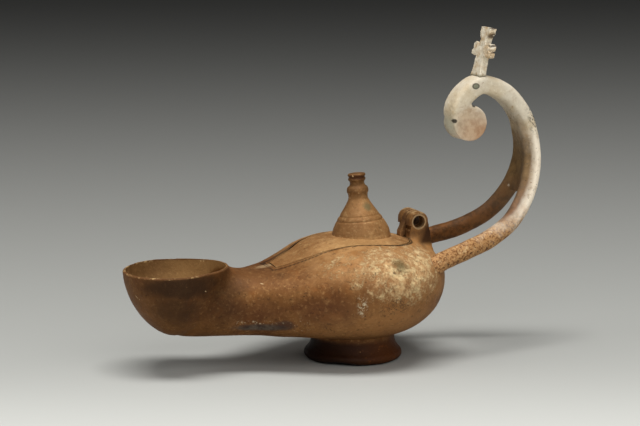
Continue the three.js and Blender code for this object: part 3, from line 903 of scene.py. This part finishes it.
def body_material():
    g = Graph("patina_body")
    mid, deep, tan, light = lin(122, 80, 40), lin(66, 38, 14), lin(152, 108, 62), lin(206, 170, 118)
    broad = g.noise(24, 3, 0.5, 1, 0.4)
    g.colour = g.mix(g.ramp(broad, 0.38, 0.62), mid, lin(102, 62, 30))
    g.lay(lin(152, 92, 40), g.patches(11, 53, 0.5, 0.68, rough=0.6, warp=0.6), 0.5)
    g.lay(tan, g.patches(6, 2, 0.48, 0.70), 0.5)
    g.lay(deep, g.patches(8, 3, 0.52, 0.74, rough=0.6), 0.6)
    # The shoulder round the lid turns to a lighter, warmer tone from its upper part towards the rear.
    top = g.times(g.ramp(g.z, 41, 52), g.ramp(g.x, -40, -2))
    g.lay(g.mix(g.patches(7, 4, 0.4, 0.62, rough=0.62), lin(190, 144, 92), lin(162, 114, 64)), top, 0.8)
    rear = g.times(g.ramp(g.x, 0, 34), g.ramp(g.z, 30, 36))
    g.lay(lin(176, 128, 76), rear, 0.5)
    g.lay(lin(166, 118, 70), g.spot((10, -34, 23), (30, 24, 10), 0.7, 0.5, 7, 54), 0.65)
    g.colour = grain(g, g.colour, lin(176, 132, 82), lin(52, 30, 12), 5, 0.75)
    # Purple-brown stains low on the near side.
    stain = g.spots((0.36, (-17, -36, 30), (16, 12, 6), 0.7, 0.5, 6, 9),
                    (0.36, (-47, -18, 29), (16, 10, 6), 0.7, 0.5, 7, 10))
    g.lay(lin(80, 44, 26), stain)
    g.lay(lin(100, 64, 36), g.spot((-50, -8, 46), (18, 13, 6), 0.7, 0.5, 6, 55), 0.45)
    # Outside, the nozzle is darker brown, and painted shade makes it darkest below its near rim, low on its
    # near side and at the crease along its rear.
    cup_mask = g.ramp(g.x, -52, -70)
    g.lay(lin(84, 52, 20), cup_mask, 0.55)
    # Painted shade: dark spots under the near rim, low on the cup and at the cup's rear crease.
    painted_nozzle_shade = g.spots((0.95, (-84, -22, 44), (24, 9, 6), 0.6, 0.5, 6, 11),
                    (0.6, (-61, -15, 38), (9, 9, 12), 0.7, 0.5, 7, 12),
                    (0.7, (-86, -20, 34), (11, 8, 9), 0.6, 0.5, 7, 13))
    g.lay(lin(38, 21, 5), painted_nozzle_shade, 0.85)
    g.lay(lin(150, 112, 66), cup_mask, speckle(g, 1.6, 0.35, 14), 0.45)
    # The crust at the rear: cream flakes, brown hollows between them and dark pits.
    reach = g.spots((1, (17, -36, 46), (20, 18, 12), 0.65, 0.5, 7, 15),
                    (0.4, (-4, -34, 50), (22, 16, 7), 0.7, 0.6, 6, 16),
                    (0.9, (29, -26, 50), (12, 14, 7), 0.6, 0.5, 5, 17),
                    (0.6, (10, 34, 48), (22, 16, 12), 0.7, 0.5, 8, 18),
                    (0.45, (40, 0, 40), (8, 26, 12), 0.7, 0.5, 8, 19))
    g.lay(lin(184, 136, 88), g.ramp(reach, 0.1, 0.9), 0.5)
    flake = g.math("ADD", g.times(g.noise(3.6, 8, 0.74, 20, 0.5), 0.62),
                   g.times(g.noise(1.0, 6, 0.74, 21), 0.38))
    crust = g.times(g.ramp(g.math("ADD", flake, g.math("MULTIPLY", reach, 0.16)), 0.545, 0.69),
                    g.ramp(reach, 0.05, 0.35))
    g.lay(g.mix(g.patches(3, 22, 0.42, 0.6), lin(224, 198, 148), lin(200, 160, 112)), crust, 0.85)
    bare = g.times(reach, g.patches(3.4, 23, 0.55, 0.66, detail=6, rough=0.7, warp=0.4))
    g.lay(lin(124, 78, 42), bare, 0.6)
    pits = g.times(g.patches(1.25, 24, 0.585, 0.65, rough=0.75, warp=0.8),
                   g.patches(6, 25, 0.40, 0.56, detail=3, rough=0.6), g.ramp(reach, 0.1, 0.6))
    g.lay(lin(64, 44, 26), pits, 0.85)
    g.lay(lin(84, 74, 40), g.spot((17, -37.4, 50), (3.4, 4.4, 3.2), 0.8, 0.7, 1.8, 26), 0.72)
    # Dark curls and a pale worm-like mark below the crust.
    curls = g.times(g.spot((13.5, -42, 32.2), (8.5, 5, 3.8), 0.4, 0.4, 3, 27),
                    g.ramp(g.math("ABSOLUTE", g.math("SUBTRACT", g.noise(3.2, 3, 0.6, 28, 1.5), 0.5)),
                           0.030, 0.012))
    g.lay(lin(56, 42, 30), curls, 0.75)
    worm = g.times(g.spot((-3.5, -41.6, 33.6), (2.2, 4, 5.2), 0.5, 0.5, 2.2, 29),
                   g.patches(1.8, 30, 0.52, 0.6, rough=0.7, warp=1.0))
    # A slate-grey patch on the underside of the neck, with pale specks along its upper edge.
    slate = g.times(g.spot((-43.5, -17, 21.4), (13, 10, 1.7), 0.45, 0.5, 3, 31), g.ramp(g.y, -2, -8))
    slate_tone = g.mix(g.patches(2.6, 32, 0.4, 0.6, detail=4, rough=0.6), lin(88, 82, 74), lin(52, 47, 46))
    g.lay(slate_tone, slate, 0.8)
    g.lay(lin(62, 44, 40), g.spot((-34, -22.5, 23), (4.5, 8, 2.4), 0.4, 0.4, 3, 33), 0.7)
    flecks = g.times(g.spot((-45, -17.6, 24.1), (11, 8, 0.9), 0.5, 0.6, 2, 34),
                     g.patches(1.2, 35, 0.54, 0.62, detail=4, rough=0.7))
    crumbs = g.times(g.spot((-27.9, -25.5, 22.8), (5, 5, 4), 0.6, 0.5, 3, 36),
                     g.patches(1.1, 37, 0.60, 0.66, detail=4, rough=0.7))
    g.lay(lin(206, 190, 158), g.most(flecks, crumbs, worm), 0.85)
    # Scratches and the pale chip in front of the lid.
    marks = g.most(g.line((-101.2, -7.2, 40), (-100.2, -9.4, 36.5), 0.2),
                   g.line((-100.2, -9.4, 36.5), (-99.6, -9.6, 38.2), 0.16),
                   g.line((-73.4, -20.4, 42.4), (-71, -20.8, 40.8), 0.22),
                   g.line((-45, -15.4, 43), (-41.8, -17.4, 41.2), 0.25),
                   g.line((-13, -25.4, 53.1), (-8, -27.4, 52.6), 0.14),
                   g.line((-16, -26.5, 52.2), (-10, -28.6, 51.6), 0.12),
                   g.times(g.spot((-36.3, -1.3, 47.1), (4.2, 2.4, 1.6), 0.6, 0.7, 1.6, 38), 0.55))
    g.lay(lin(206, 178, 134), marks, 0.75)
    # The foot is dark, with worn reddish specks, and painted shade makes it nearly black towards the left,
    # where the nozzle shades it.
    foot_mask = g.ramp(g.z, 12, 9)
    g.lay(lin(50, 23, 7), foot_mask, 0.9)
    g.lay(lin(150, 86, 32), foot_mask, g.patches(3, 39, 0.56, 0.68, rough=0.7), g.ramp(g.x, -4, 20), 0.75)
    g.lay(lin(110, 60, 24), foot_mask, g.ramp(g.x, 0, 22), 0.45)
    g.lay(lin(160, 116, 72), foot_mask, speckle(g, 1.4, 0.45, 40), 0.6)
    # Painted shade: the foot darkens to nearly black towards the left, under the nozzle.
    g.lay(lin(28, 10, 3), foot_mask, g.ramp(g.x, 12, -14), 0.75)
    # Inside the cup the metal is a warm, smooth brown, painted lighter than the metal is to make up for the
    # shade inside, with painted light on the rear of the cup.
    warm = g.mix(g.patches(9, 42, 0.36, 0.64, detail=4, rough=0.6), lin(142, 106, 64), lin(118, 84, 48))
    warm = grain(g, warm, lin(186, 148, 96), lin(88, 58, 30), 43, 0.6)
    # Painted light: the rear part of the cup's inside is lighter.
    warm = g.over(warm, lin(166, 126, 76), g.ramp(g.x, -92, -64), 0.6)
    g.lay(warm, g.value_of("inside"))
    g.colour = wear_sheen_and_shade(g, g.colour, light, lin(44, 28, 16))
    # The rim shows a thin broken light line on its nearer, front half.
    above = g.math("SUBTRACT", g.z, g.math("ADD", g.math("MULTIPLY", g.x, RIM_RISE / 49),
                                           RIM_H + RIM_RISE * 104 / 49 - 0.35))
    rim = g.times(g.ramp(above, -0.5, 0.0), g.ramp(g.x, -58, -64))
    g.lay(lin(112, 74, 42), rim, 0.75)
    chipped = g.times(rim, g.patches(2.6, 47, 0.5, 0.62, rough=0.7), g.ramp(g.x, -70, -84))
    g.lay(lin(204, 170, 116), chipped, 0.85)
    # Painted shadow: the gap between lid and bowl is painted near black, strongest on the far side and at the
    # rear.
    gap_shadow_strength = g.most(g.ramp(g.y, -4, 2), g.ramp(g.x, -6, 14), 0.7)
    g.lay(lin(12, 8, 5), g.value_of("seam"), gap_shadow_strength)
    # The lugs of the hinge are dark brown, with painted shade at their lower rear, a painted highlight round
    # the bore and a light top edge that is worn metal with a painted highlight.
    lug_mask = g.times(g.ramp(g.z, 54, 60), g.ramp(g.x, 32, 35))
    g.lay(g.mix(g.patches(3, 48, 0.4, 0.62), lin(104, 68, 32), lin(58, 34, 14)), lug_mask, 0.72)
    # Painted shade with dark dirt: the lower rear of each lug, where it meets the bowl, is darkened.
    low_rear = g.times(g.ramp(g.math("SUBTRACT", g.x, g.math("MULTIPLY", g.z, 0.5)), 9.5, 14.5),
                       g.ramp(g.z, 52, 55), g.ramp(g.z, 70, 62))
    g.lay(lin(44, 20, 3), low_rear, 0.9)
    # Painted highlight: a light ring round the bore's edge.
    bore_highlight = g.math("SUBTRACT", g.spot((39.5, -7, 64.4), (3.7, 3, 3.7), 0.06),
                  g.spot((39.5, -7, 64.4), (3.05, 4, 3.05), 0.06), clamp=True)
    g.lay(lin(196, 170, 130), bore_highlight, 0.5)
    # Painted highlight on worn metal: the top of the lugs is lighter.
    top_highlight = g.times(g.ramp(g.z, 67.6, 69), g.patches(2.6, 49, 0.40, 0.58, rough=0.7), g.ramp(g.x, 30, 34))
    g.lay(lin(200, 166, 118), top_highlight, 0.6)
    rough = g.math("ADD", 0.46, g.math("MULTIPLY", g.noise(3, 4, 0.6, 50), 0.28))
    rough = g.math("ADD", rough, g.math("MULTIPLY", crust, 0.2), clamp=True)
    metal = g.math("SUBTRACT", 0.22, g.math("MULTIPLY", crust, 0.2), clamp=True)
    return g.surface(rough, metal, [(g.noise(6, 6, 0.6, 51), 0.3), (g.noise(1.3, 5, 0.7, 52), 0.2),
                                    (crust, 0.22), (pits, -0.25), (slate, -0.1)])


def lid_material():
    g = Graph("patina_lid")
    tan, mid, deep = lin(168, 123, 76), lin(138, 96, 54), lin(92, 60, 28)
    g.colour = g.mix(g.patches(15, 1, 0.38, 0.62, detail=4, rough=0.55, warp=0.3), tan, mid)
    g.lay(lin(208, 166, 110), g.patches(5, 2, 0.5, 0.70), 0.55)
    g.lay(deep, g.patches(6, 3, 0.54, 0.72, rough=0.6), 0.6)
    g.colour = grain(g, g.colour, lin(218, 182, 128), lin(76, 48, 24), 4, 0.75)
    # The front of the tongue is browner.
    g.lay(lin(132, 88, 46), g.ramp(g.x, -6, -30), 0.6)
    g.lay(lin(206, 162, 106), g.spot((4, -16, 56), (16, 9, 6), 0.7, 0.5, 6, 17), 0.4)
    # The knob: top browner, painted shade on its left side and in the recess under its top, two green-grey
    # spots.
    knob_mask = g.ramp(g.z, 58.6, 60.4)
    g.lay(lin(124, 88, 50), knob_mask, 0.3)
    # Painted shade: the knob is darker on the faces turned to the left.
    g.lay(lin(110, 74, 40), knob_mask, g.ramp(g.facing((-1, -0.3, 0)), 0.1, 0.8), 0.42)
    g.lay(lin(92, 60, 28), g.ramp(g.z, 75, 81), g.patches(3, 8, 0.3, 0.55, detail=4, rough=0.6), 0.8)
    g.lay(lin(98, 96, 66), g.spot((13.6, -5.4, 73.2), (2.0, 3, 2.0), 0.6, 0.7, 1.4, 9), 0.65)
    # Painted shade: a dark band in the recess below the knob's top.
    g.lay(lin(66, 34, 14), g.spot((9.6, -2.6, 86.7), (4.8, 4, 1.1), 0.4, 0.5, 1.5, 10), 0.85)
    g.lay(lin(104, 70, 40), knob_mask, speckle(g, 1.5, 0.5, 11), 0.5)
    # The rear end of the lid and its tab are darker, the knuckle is mottled, and its top is lighter, worn and
    # with a painted highlight.
    rear = g.times(g.ramp(g.x, 30, 34), g.patches(3, 12, 0.28, 0.5))
    g.lay(lin(84, 54, 29), rear, 0.72)
    # Painted highlight on worn metal: the top of the knuckle is lighter.
    g.lay(lin(196, 160, 112), g.ramp(g.z, 66.8, 68.8), g.patches(2.4, 13, 0.42, 0.58, rough=0.7),
          g.ramp(g.x, 30, 34), 0.6)
    g.colour = wear_sheen_and_shade(g, g.colour, lin(220, 184, 132), lin(44, 28, 16))
    # Painted shadow: the lid's edge at the gap is painted near black, strongest on the far side and at the
    # rear.
    gap_shadow_strength = g.most(g.ramp(g.y, -4, 2), g.ramp(g.x, -6, 14), 0.7)
    g.lay(lin(12, 8, 5), g.value_of("seam"), gap_shadow_strength)
    rough = g.math("ADD", 0.44, g.math("MULTIPLY", g.noise(3, 4, 0.6, 14), 0.28))
    return g.surface(rough, 0.22, [(g.noise(5, 6, 0.6, 15), 0.26), (g.noise(1.1, 5, 0.7, 16), 0.19)])


def handle_material():
    g = Graph("patina_handle")
    cream, warm = lin(214, 203, 182), lin(202, 184, 152)
    pale = g.mix(g.patches(14, 1, 0.38, 0.64, detail=4, rough=0.55), cream, warm)
    # Painted light: the near side of the arms below the band is made whiter.
    pale = g.over(pale, lin(250, 236, 214), g.ramp(g.y, -2, -7), g.ramp(g.z, 112, 96), 0.85)
    pale = g.over(pale, lin(176, 150, 116), g.patches(3.2, 2, 0.52, 0.72), 0.5)
    pale = grain(g, pale, lin(242, 234, 216), lin(164, 134, 102), 3, 0.5)
    # The end disc turns orange-brown at its lower right, and the volute's front is grey-green.
    pale = g.over(pale, lin(188, 128, 74), g.spot((69, -6, 106), (8, 5, 6), 0.8, 0.6, 3, 7), 0.55)
    pale = g.over(pale, lin(168, 104, 54), g.spot((73, -6, 104), (4.6, 5, 5), 0.6, 0.6, 2.5, 8), 0.6)
    pale = g.over(pale, lin(160, 168, 140), g.spot((57, 0, 109), (4, 8, 5), 0.6, 0.5, 4, 9), 0.35)
    pale = g.over(pale, g.mix(g.patches(3, 34, 0.4, 0.62), lin(190, 164, 134), lin(160, 128, 98)),
                  g.spot((66.6, -6.6, 110), (8.4, 2, 8.4), 0.3, 0.2, 3, 33), 0.65)
    # Brown metal shows on the lower part of both arms, on the far arm and on the inner faces, where the dark
    # olive is partly painted shade.
    reach = g.math("ADD", g.z, g.math("MULTIPLY", g.math("SUBTRACT", g.noise(8, 5, 0.65, 10, 0.4), 0.5), 30))
    near_low = g.ramp(reach, 73, 54)
    far_side = g.times(g.ramp(g.y, -1.0, 3.0), g.ramp(reach, 116, 88))
    # Painted shade with olive patina: faces turned towards the bowl, under the band.
    inner_face = g.times(g.ramp(g.facing((-1, 0, 0.1)), -0.1, 0.5), g.ramp(reach, 126, 92),
                         g.ramp(g.x, 70, 84))
    speck = g.patches(1.1, 11, 0.46, 0.60, rough=0.72)
    mottle_lit_and_shaded = g.mix(speck, lin(178, 134, 86), lin(112, 70, 36))
    # Painted highlight and painted shade: the mottle is lighter on faces turned up and darker on faces turned
    # down.
    mottle_lit_and_shaded = g.over(mottle_lit_and_shaded, lin(214, 182, 134), g.patches(2.2, 32, 0.54, 0.66, rough=0.7),
                    g.ramp(g.facing((0, 0, 1)), -0.3, 0.6), 0.7)
    mottle_lit_and_shaded = g.over(mottle_lit_and_shaded, lin(66, 40, 24), g.patches(1.6, 12, 0.54, 0.62, rough=0.72, warp=0.5),
                    g.ramp(g.facing((0, 0, -1)), -0.75, 0.15))
    olive = g.mix(g.patches(5, 13, 0.38, 0.62), lin(124, 92, 46), lin(92, 64, 24))
    olive = grain(g, olive, lin(160, 132, 82), lin(46, 30, 10), 14, 0.55)
    root_dark = g.mix(g.patches(4, 18, 0.38, 0.62), lin(112, 68, 28), lin(76, 44, 14))
    inner_tone = g.over(olive, root_dark, g.ramp(g.z, 92, 64))
    g.colour = g.over(pale, mottle_lit_and_shaded, near_low)
    g.lay(inner_tone, g.most(far_side, inner_face), 0.92)
    # Black specks along the outer edge, single dark spots, a crack line and an oval grey-green inlay.
    edge = g.times(g.spot((100.5, -5, 113), (4, 5, 9), 0.5, 0.4, 3, 19),
                   g.patches(1.4, 20, 0.53, 0.57, detail=4))
    inner_edge = g.times(g.spot((90, 1.5, 112.5), (4, 5, 4), 0.5, 0.4, 2, 21),
                         g.patches(1.3, 22, 0.55, 0.6, detail=3, rough=0.6))
    low_edge = g.times(g.spot((98, -7, 80), (8, 8, 18), 0.5, 0.4, 3, 23),
                       g.patches(1.2, 24, 0.63, 0.68, detail=3, rough=0.6))
    spots = g.most(edge, inner_edge, low_edge, g.spot((58.2, -6, 111.8), (1.0, 3, 1.0), 0.35, 0.6, 1.0, 25),
                   g.spot((68.1, -6.2, 118.7), (.9, 3, .7), 0.35, 0.5, 1.0, 26),
                   g.line((61, -3.2, 121), (67, -2.2, 129.5), 0.13),
                   g.line((59, -4.4, 117), (61.4, -4.2, 121.5), 0.12))
    g.lay(lin(24, 20, 16), spots, 0.92)
    oval = g.spot((69.0, -6.1, 128.1), (1.9, 3.4, 1.5), 0.12, 0.1, 1.5, 27)
    core = g.spot((69.1, -6.1, 128.1), (1.35, 3.4, 1.0), 0.3, 0.1, 1.5, 28)
    g.lay(lin(52, 50, 40), oval, 0.9)
    g.lay(lin(138, 138, 116), core, 0.8)
    g.colour = wear_sheen_and_shade(g, g.colour, lin(232, 222, 200), lin(70, 52, 34), 0.6, 0.7)
    rough = g.math("ADD", 0.46, g.math("MULTIPLY", g.noise(3, 4, 0.6, 29), 0.3))
    metal = g.math("MULTIPLY", g.most(near_low, far_side, inner_face), 0.2)
    return g.surface(rough, metal, [(g.noise(6, 6, 0.6, 30), 0.3), (g.noise(1.3, 5, 0.7, 31), 0.15),
                                    (spots, -0.1)])


def cross_material():
    g = Graph("crust_cross")
    g.colour = g.mix(g.patches(4, 1, 0.40, 0.64, detail=4, rough=0.6), lin(222, 211, 189), lin(196, 170, 134))
    g.lay(lin(160, 126, 86), g.patches(1.6, 2, 0.56, 0.68), 0.6)
    g.lay(lin(98, 92, 66), g.ramp(g.z, 134, 132.3), 0.8)
    # Painted shade: dark grooves and hollows at the ends of the arms.
    hollow = g.most(g.spot((78.3, -5.0, 151.4), (2.6, 2.4, 1.5), 0.5, 0.4, 1.2, 3),
                    g.spot((77.6, -7.4, 147.2), (2.4, 2.6, .5), 0.4, 0.4, 1, 4),
                    g.spot((77.4, -7.6, 144.0), (2.2, 2.6, .45), 0.4, 0.4, 1, 5),
                    g.spot((78.9, -5.0, 155.3), (2, 2, .5), 0.4, 0.4, 1, 6))
    g.lay(lin(58, 38, 24), hollow, 0.85)
    g.colour = wear_sheen_and_shade(g, g.colour, lin(244, 236, 216), lin(66, 46, 30), 0.8, 0.95)
    rough = g.math("ADD", 0.55, g.math("MULTIPLY", g.noise(2, 4, 0.6, 7), 0.3))
    return g.surface(rough, 0.0, [(g.noise(2.2, 6, 0.65, 8), 0.35), (g.noise(0.8, 4, 0.7, 9), 0.12),
                                  (hollow, -0.4)])


def mark_inside(obj, tree):
    """A value on each point of the body: 1 where it lies on the inner space's surface, 0 outside."""
    hits = [tree.find_nearest(Vector(p), 0.2)[0] is not None for p in coords(obj.data)]
    layer = obj.data.attributes.new("inside", "FLOAT", "POINT")
    layer.data.foreach_set("value", np.array(hits, np.float32))


def mark_seam(obj):
    """A value on each point: 1 on the cut between lid and bowl, where a painted shadow darkens the gap, 0
    away from it.
    """
    co = coords(obj.data)
    value = np.zeros(len(co))
    for grow, far_grow in (HOLE_GAPS, PLATE_GAPS):
        line = lid_outline(grow, far_grow)
        turn = np.roll(line, -1, axis=0)
        near = (np.abs(co[:, 0] + 9) < 37) & (np.abs(co[:, 1]) < 25) & (co[:, 2] > 42)
        near &= (co[:, 0] < 22) | (co[:, 2] < 57)
        index = np.where(near)[0]
        p = co[index, :2]
        best = np.full(len(p), 99.0)
        for start, end in zip(line, turn):
            along = end - start
            t = np.clip(((p - start) @ along) / (along @ along + 1e-9), 0, 1)
            best = np.minimum(best, np.linalg.norm(p - start - t[:, None] * along, axis=1))
        reach = np.where(p[:, 1] > 2, 0.6, 0.3)
        value[index] = np.maximum(value[index], np.clip(1.3 - best / reach, 0, 1))
    layer = obj.data.attributes.new("seam", "FLOAT", "POINT")
    layer.data.foreach_set("value", value.astype(np.float32))


def stage_material():
    """A pale matt floor whose colour is painted darker with its distance behind the lamp, standing in for the
    light's falloff.
    """
    g = Graph("pale_floor")
    behind = g.math("ADD", g.math("MULTIPLY", g.x, -math.sin(VIEW_TURN)),
                    g.math("MULTIPLY", g.y, math.cos(VIEW_TURN)))
    # Painted falloff of light: the floor darkens behind the lamp and is lighter in front.
    painted_falloff = g.math("EXPONENT", g.math("DIVIDE", behind, -FLOOR_FADE))
    front = g.math("MULTIPLY", g.ramp(behind, 0, -160), FLOOR_FRONT)
    grey = g.math("ADD", g.math("MULTIPLY", painted_falloff, FLOOR_PALE), g.math("ADD", front, FLOOR_FAR), clamp=True)
    colour = g.add("ShaderNodeCombineColor")
    for socket, tint in zip(colour.inputs, (1.0, 1.005, 0.945)):
        g.link(g.math("MULTIPLY", grey, tint), socket)
    g.link(colour.outputs[0], g.bsdf.inputs["Base Color"])
    g.bsdf.inputs["Roughness"].default_value = 0.95
    g.bsdf.inputs["Specular IOR Level"].default_value = 0.1
    return g.mat


body, lid = build_body_and_lid()
mark_seam(body)
mark_seam(lid)
finish_piece(body, "lamp_body_cast", "lamp_body", "body", body_material())
finish_piece(lid, "lid_cast", "lid", "lid", lid_material())
handle = build_handle()
finish_piece(handle, "handle_cast", "handle", "body", handle_material())
finial = build_cross()
finish_piece(finial, "handle_cross_cast", "handle_cross", "body", cross_material())

VIEW_TURN = math.radians(-21.0)
VIEW_PITCH = math.radians(9.5)
FLOOR_FADE, FLOOR_PALE, FLOOR_FRONT, FLOOR_FAR = 800, 0.40, 0.126, 0.016


def floor():
    mesh = bpy.data.meshes.new("stage")
    mesh.from_pydata([(-4, -3, 0), (4, -3, 0), (4, 7, 0), (-4, 7, 0)], [], [(0, 1, 2, 3)])
    obj = bpy.data.objects.new("stage", mesh)
    bpy.context.scene.collection.objects.link(obj)
    obj.data.transform(Matrix.Rotation(VIEW_TURN, 4, "Z"))
    obj.data.transform(Matrix.Translation((0, 0, -0.0001)))
    mesh.materials.append(stage_material())


floor()


def in_view(across, behind, up):
    """A place given as the photograph sees it: metres to the right, behind the lamp and up."""
    return (across * math.cos(VIEW_TURN) - behind * math.sin(VIEW_TURN),
            across * math.sin(VIEW_TURN) + behind * math.cos(VIEW_TURN), up)


def area_light(name, place, target, size, power, colour=(1, 1, 1)):
    data = bpy.data.lights.new(name, "AREA")
    data.shape = "RECTANGLE"
    data.size, data.size_y = size
    data.energy = power
    data.color = colour
    obj = bpy.data.objects.new(name, data)
    forward = (Vector(target) - Vector(place)).normalized()
    across = Vector(in_view(1, 0, 0))
    across = (across - forward * across.dot(forward)).normalized()
    obj.matrix_world = (Matrix.Translation(place)
                        @ Matrix((across, across.cross(forward), -forward)).transposed().to_4x4())
    bpy.context.scene.collection.objects.link(obj)
    return obj


# A long soft light overhead, and weaker ones in front and on the left.
area_light("overhead", in_view(0, -0.9, 6), (0, 0, 0.05), (4.2, 1.8), 335)
area_light("front", in_view(0.7, -1.8, 1.4), (0, 0, 0.06), (2.6, 1.8), 25)
area_light("left", in_view(-2.2, -0.7, 1.7), (0, 0, 0.07), (1.6, 1.4), 15)

world = bpy.data.worlds.new("studio")
world.use_nodes = True
background = world.node_tree.nodes["Background"]
background.inputs[0].default_value = (0.94, 0.93, 0.9, 1)
background.inputs[1].default_value = 0.08
bpy.context.scene.world = world
bpy.context.scene.view_settings.view_transform = "Standard"

# The photograph's view: a long lens, 21 degrees to the nozzle's side and 9.5 degrees down.
FOCAL_PX, DISTANCE_MM = 2100.0, 1008.0
right = Vector(in_view(1, 0, 0))
back = Vector(in_view(0, -math.cos(VIEW_PITCH), math.sin(VIEW_PITCH)))
up = back.cross(right)
foot_px = (352.8, 355.6)
ray = -back + (foot_px[0] - 320) / FOCAL_PX * right - (foot_px[1] - 213) / FOCAL_PX * up
place = (-ray * DISTANCE_MM + Vector((SHIFT, 0, 0))) * MM
camera_data = bpy.data.cameras.new("camera")
camera_data.sensor_width = 36.0
camera_data.lens = FOCAL_PX / 640 * 36.0
camera_data.clip_end = 20
camera = bpy.data.objects.new("camera", camera_data)
camera.matrix_world = Matrix.Translation(place) @ Matrix((right, up, back)).transposed().to_4x4()
bpy.context.scene.collection.objects.link(camera)
bpy.context.scene.camera = camera
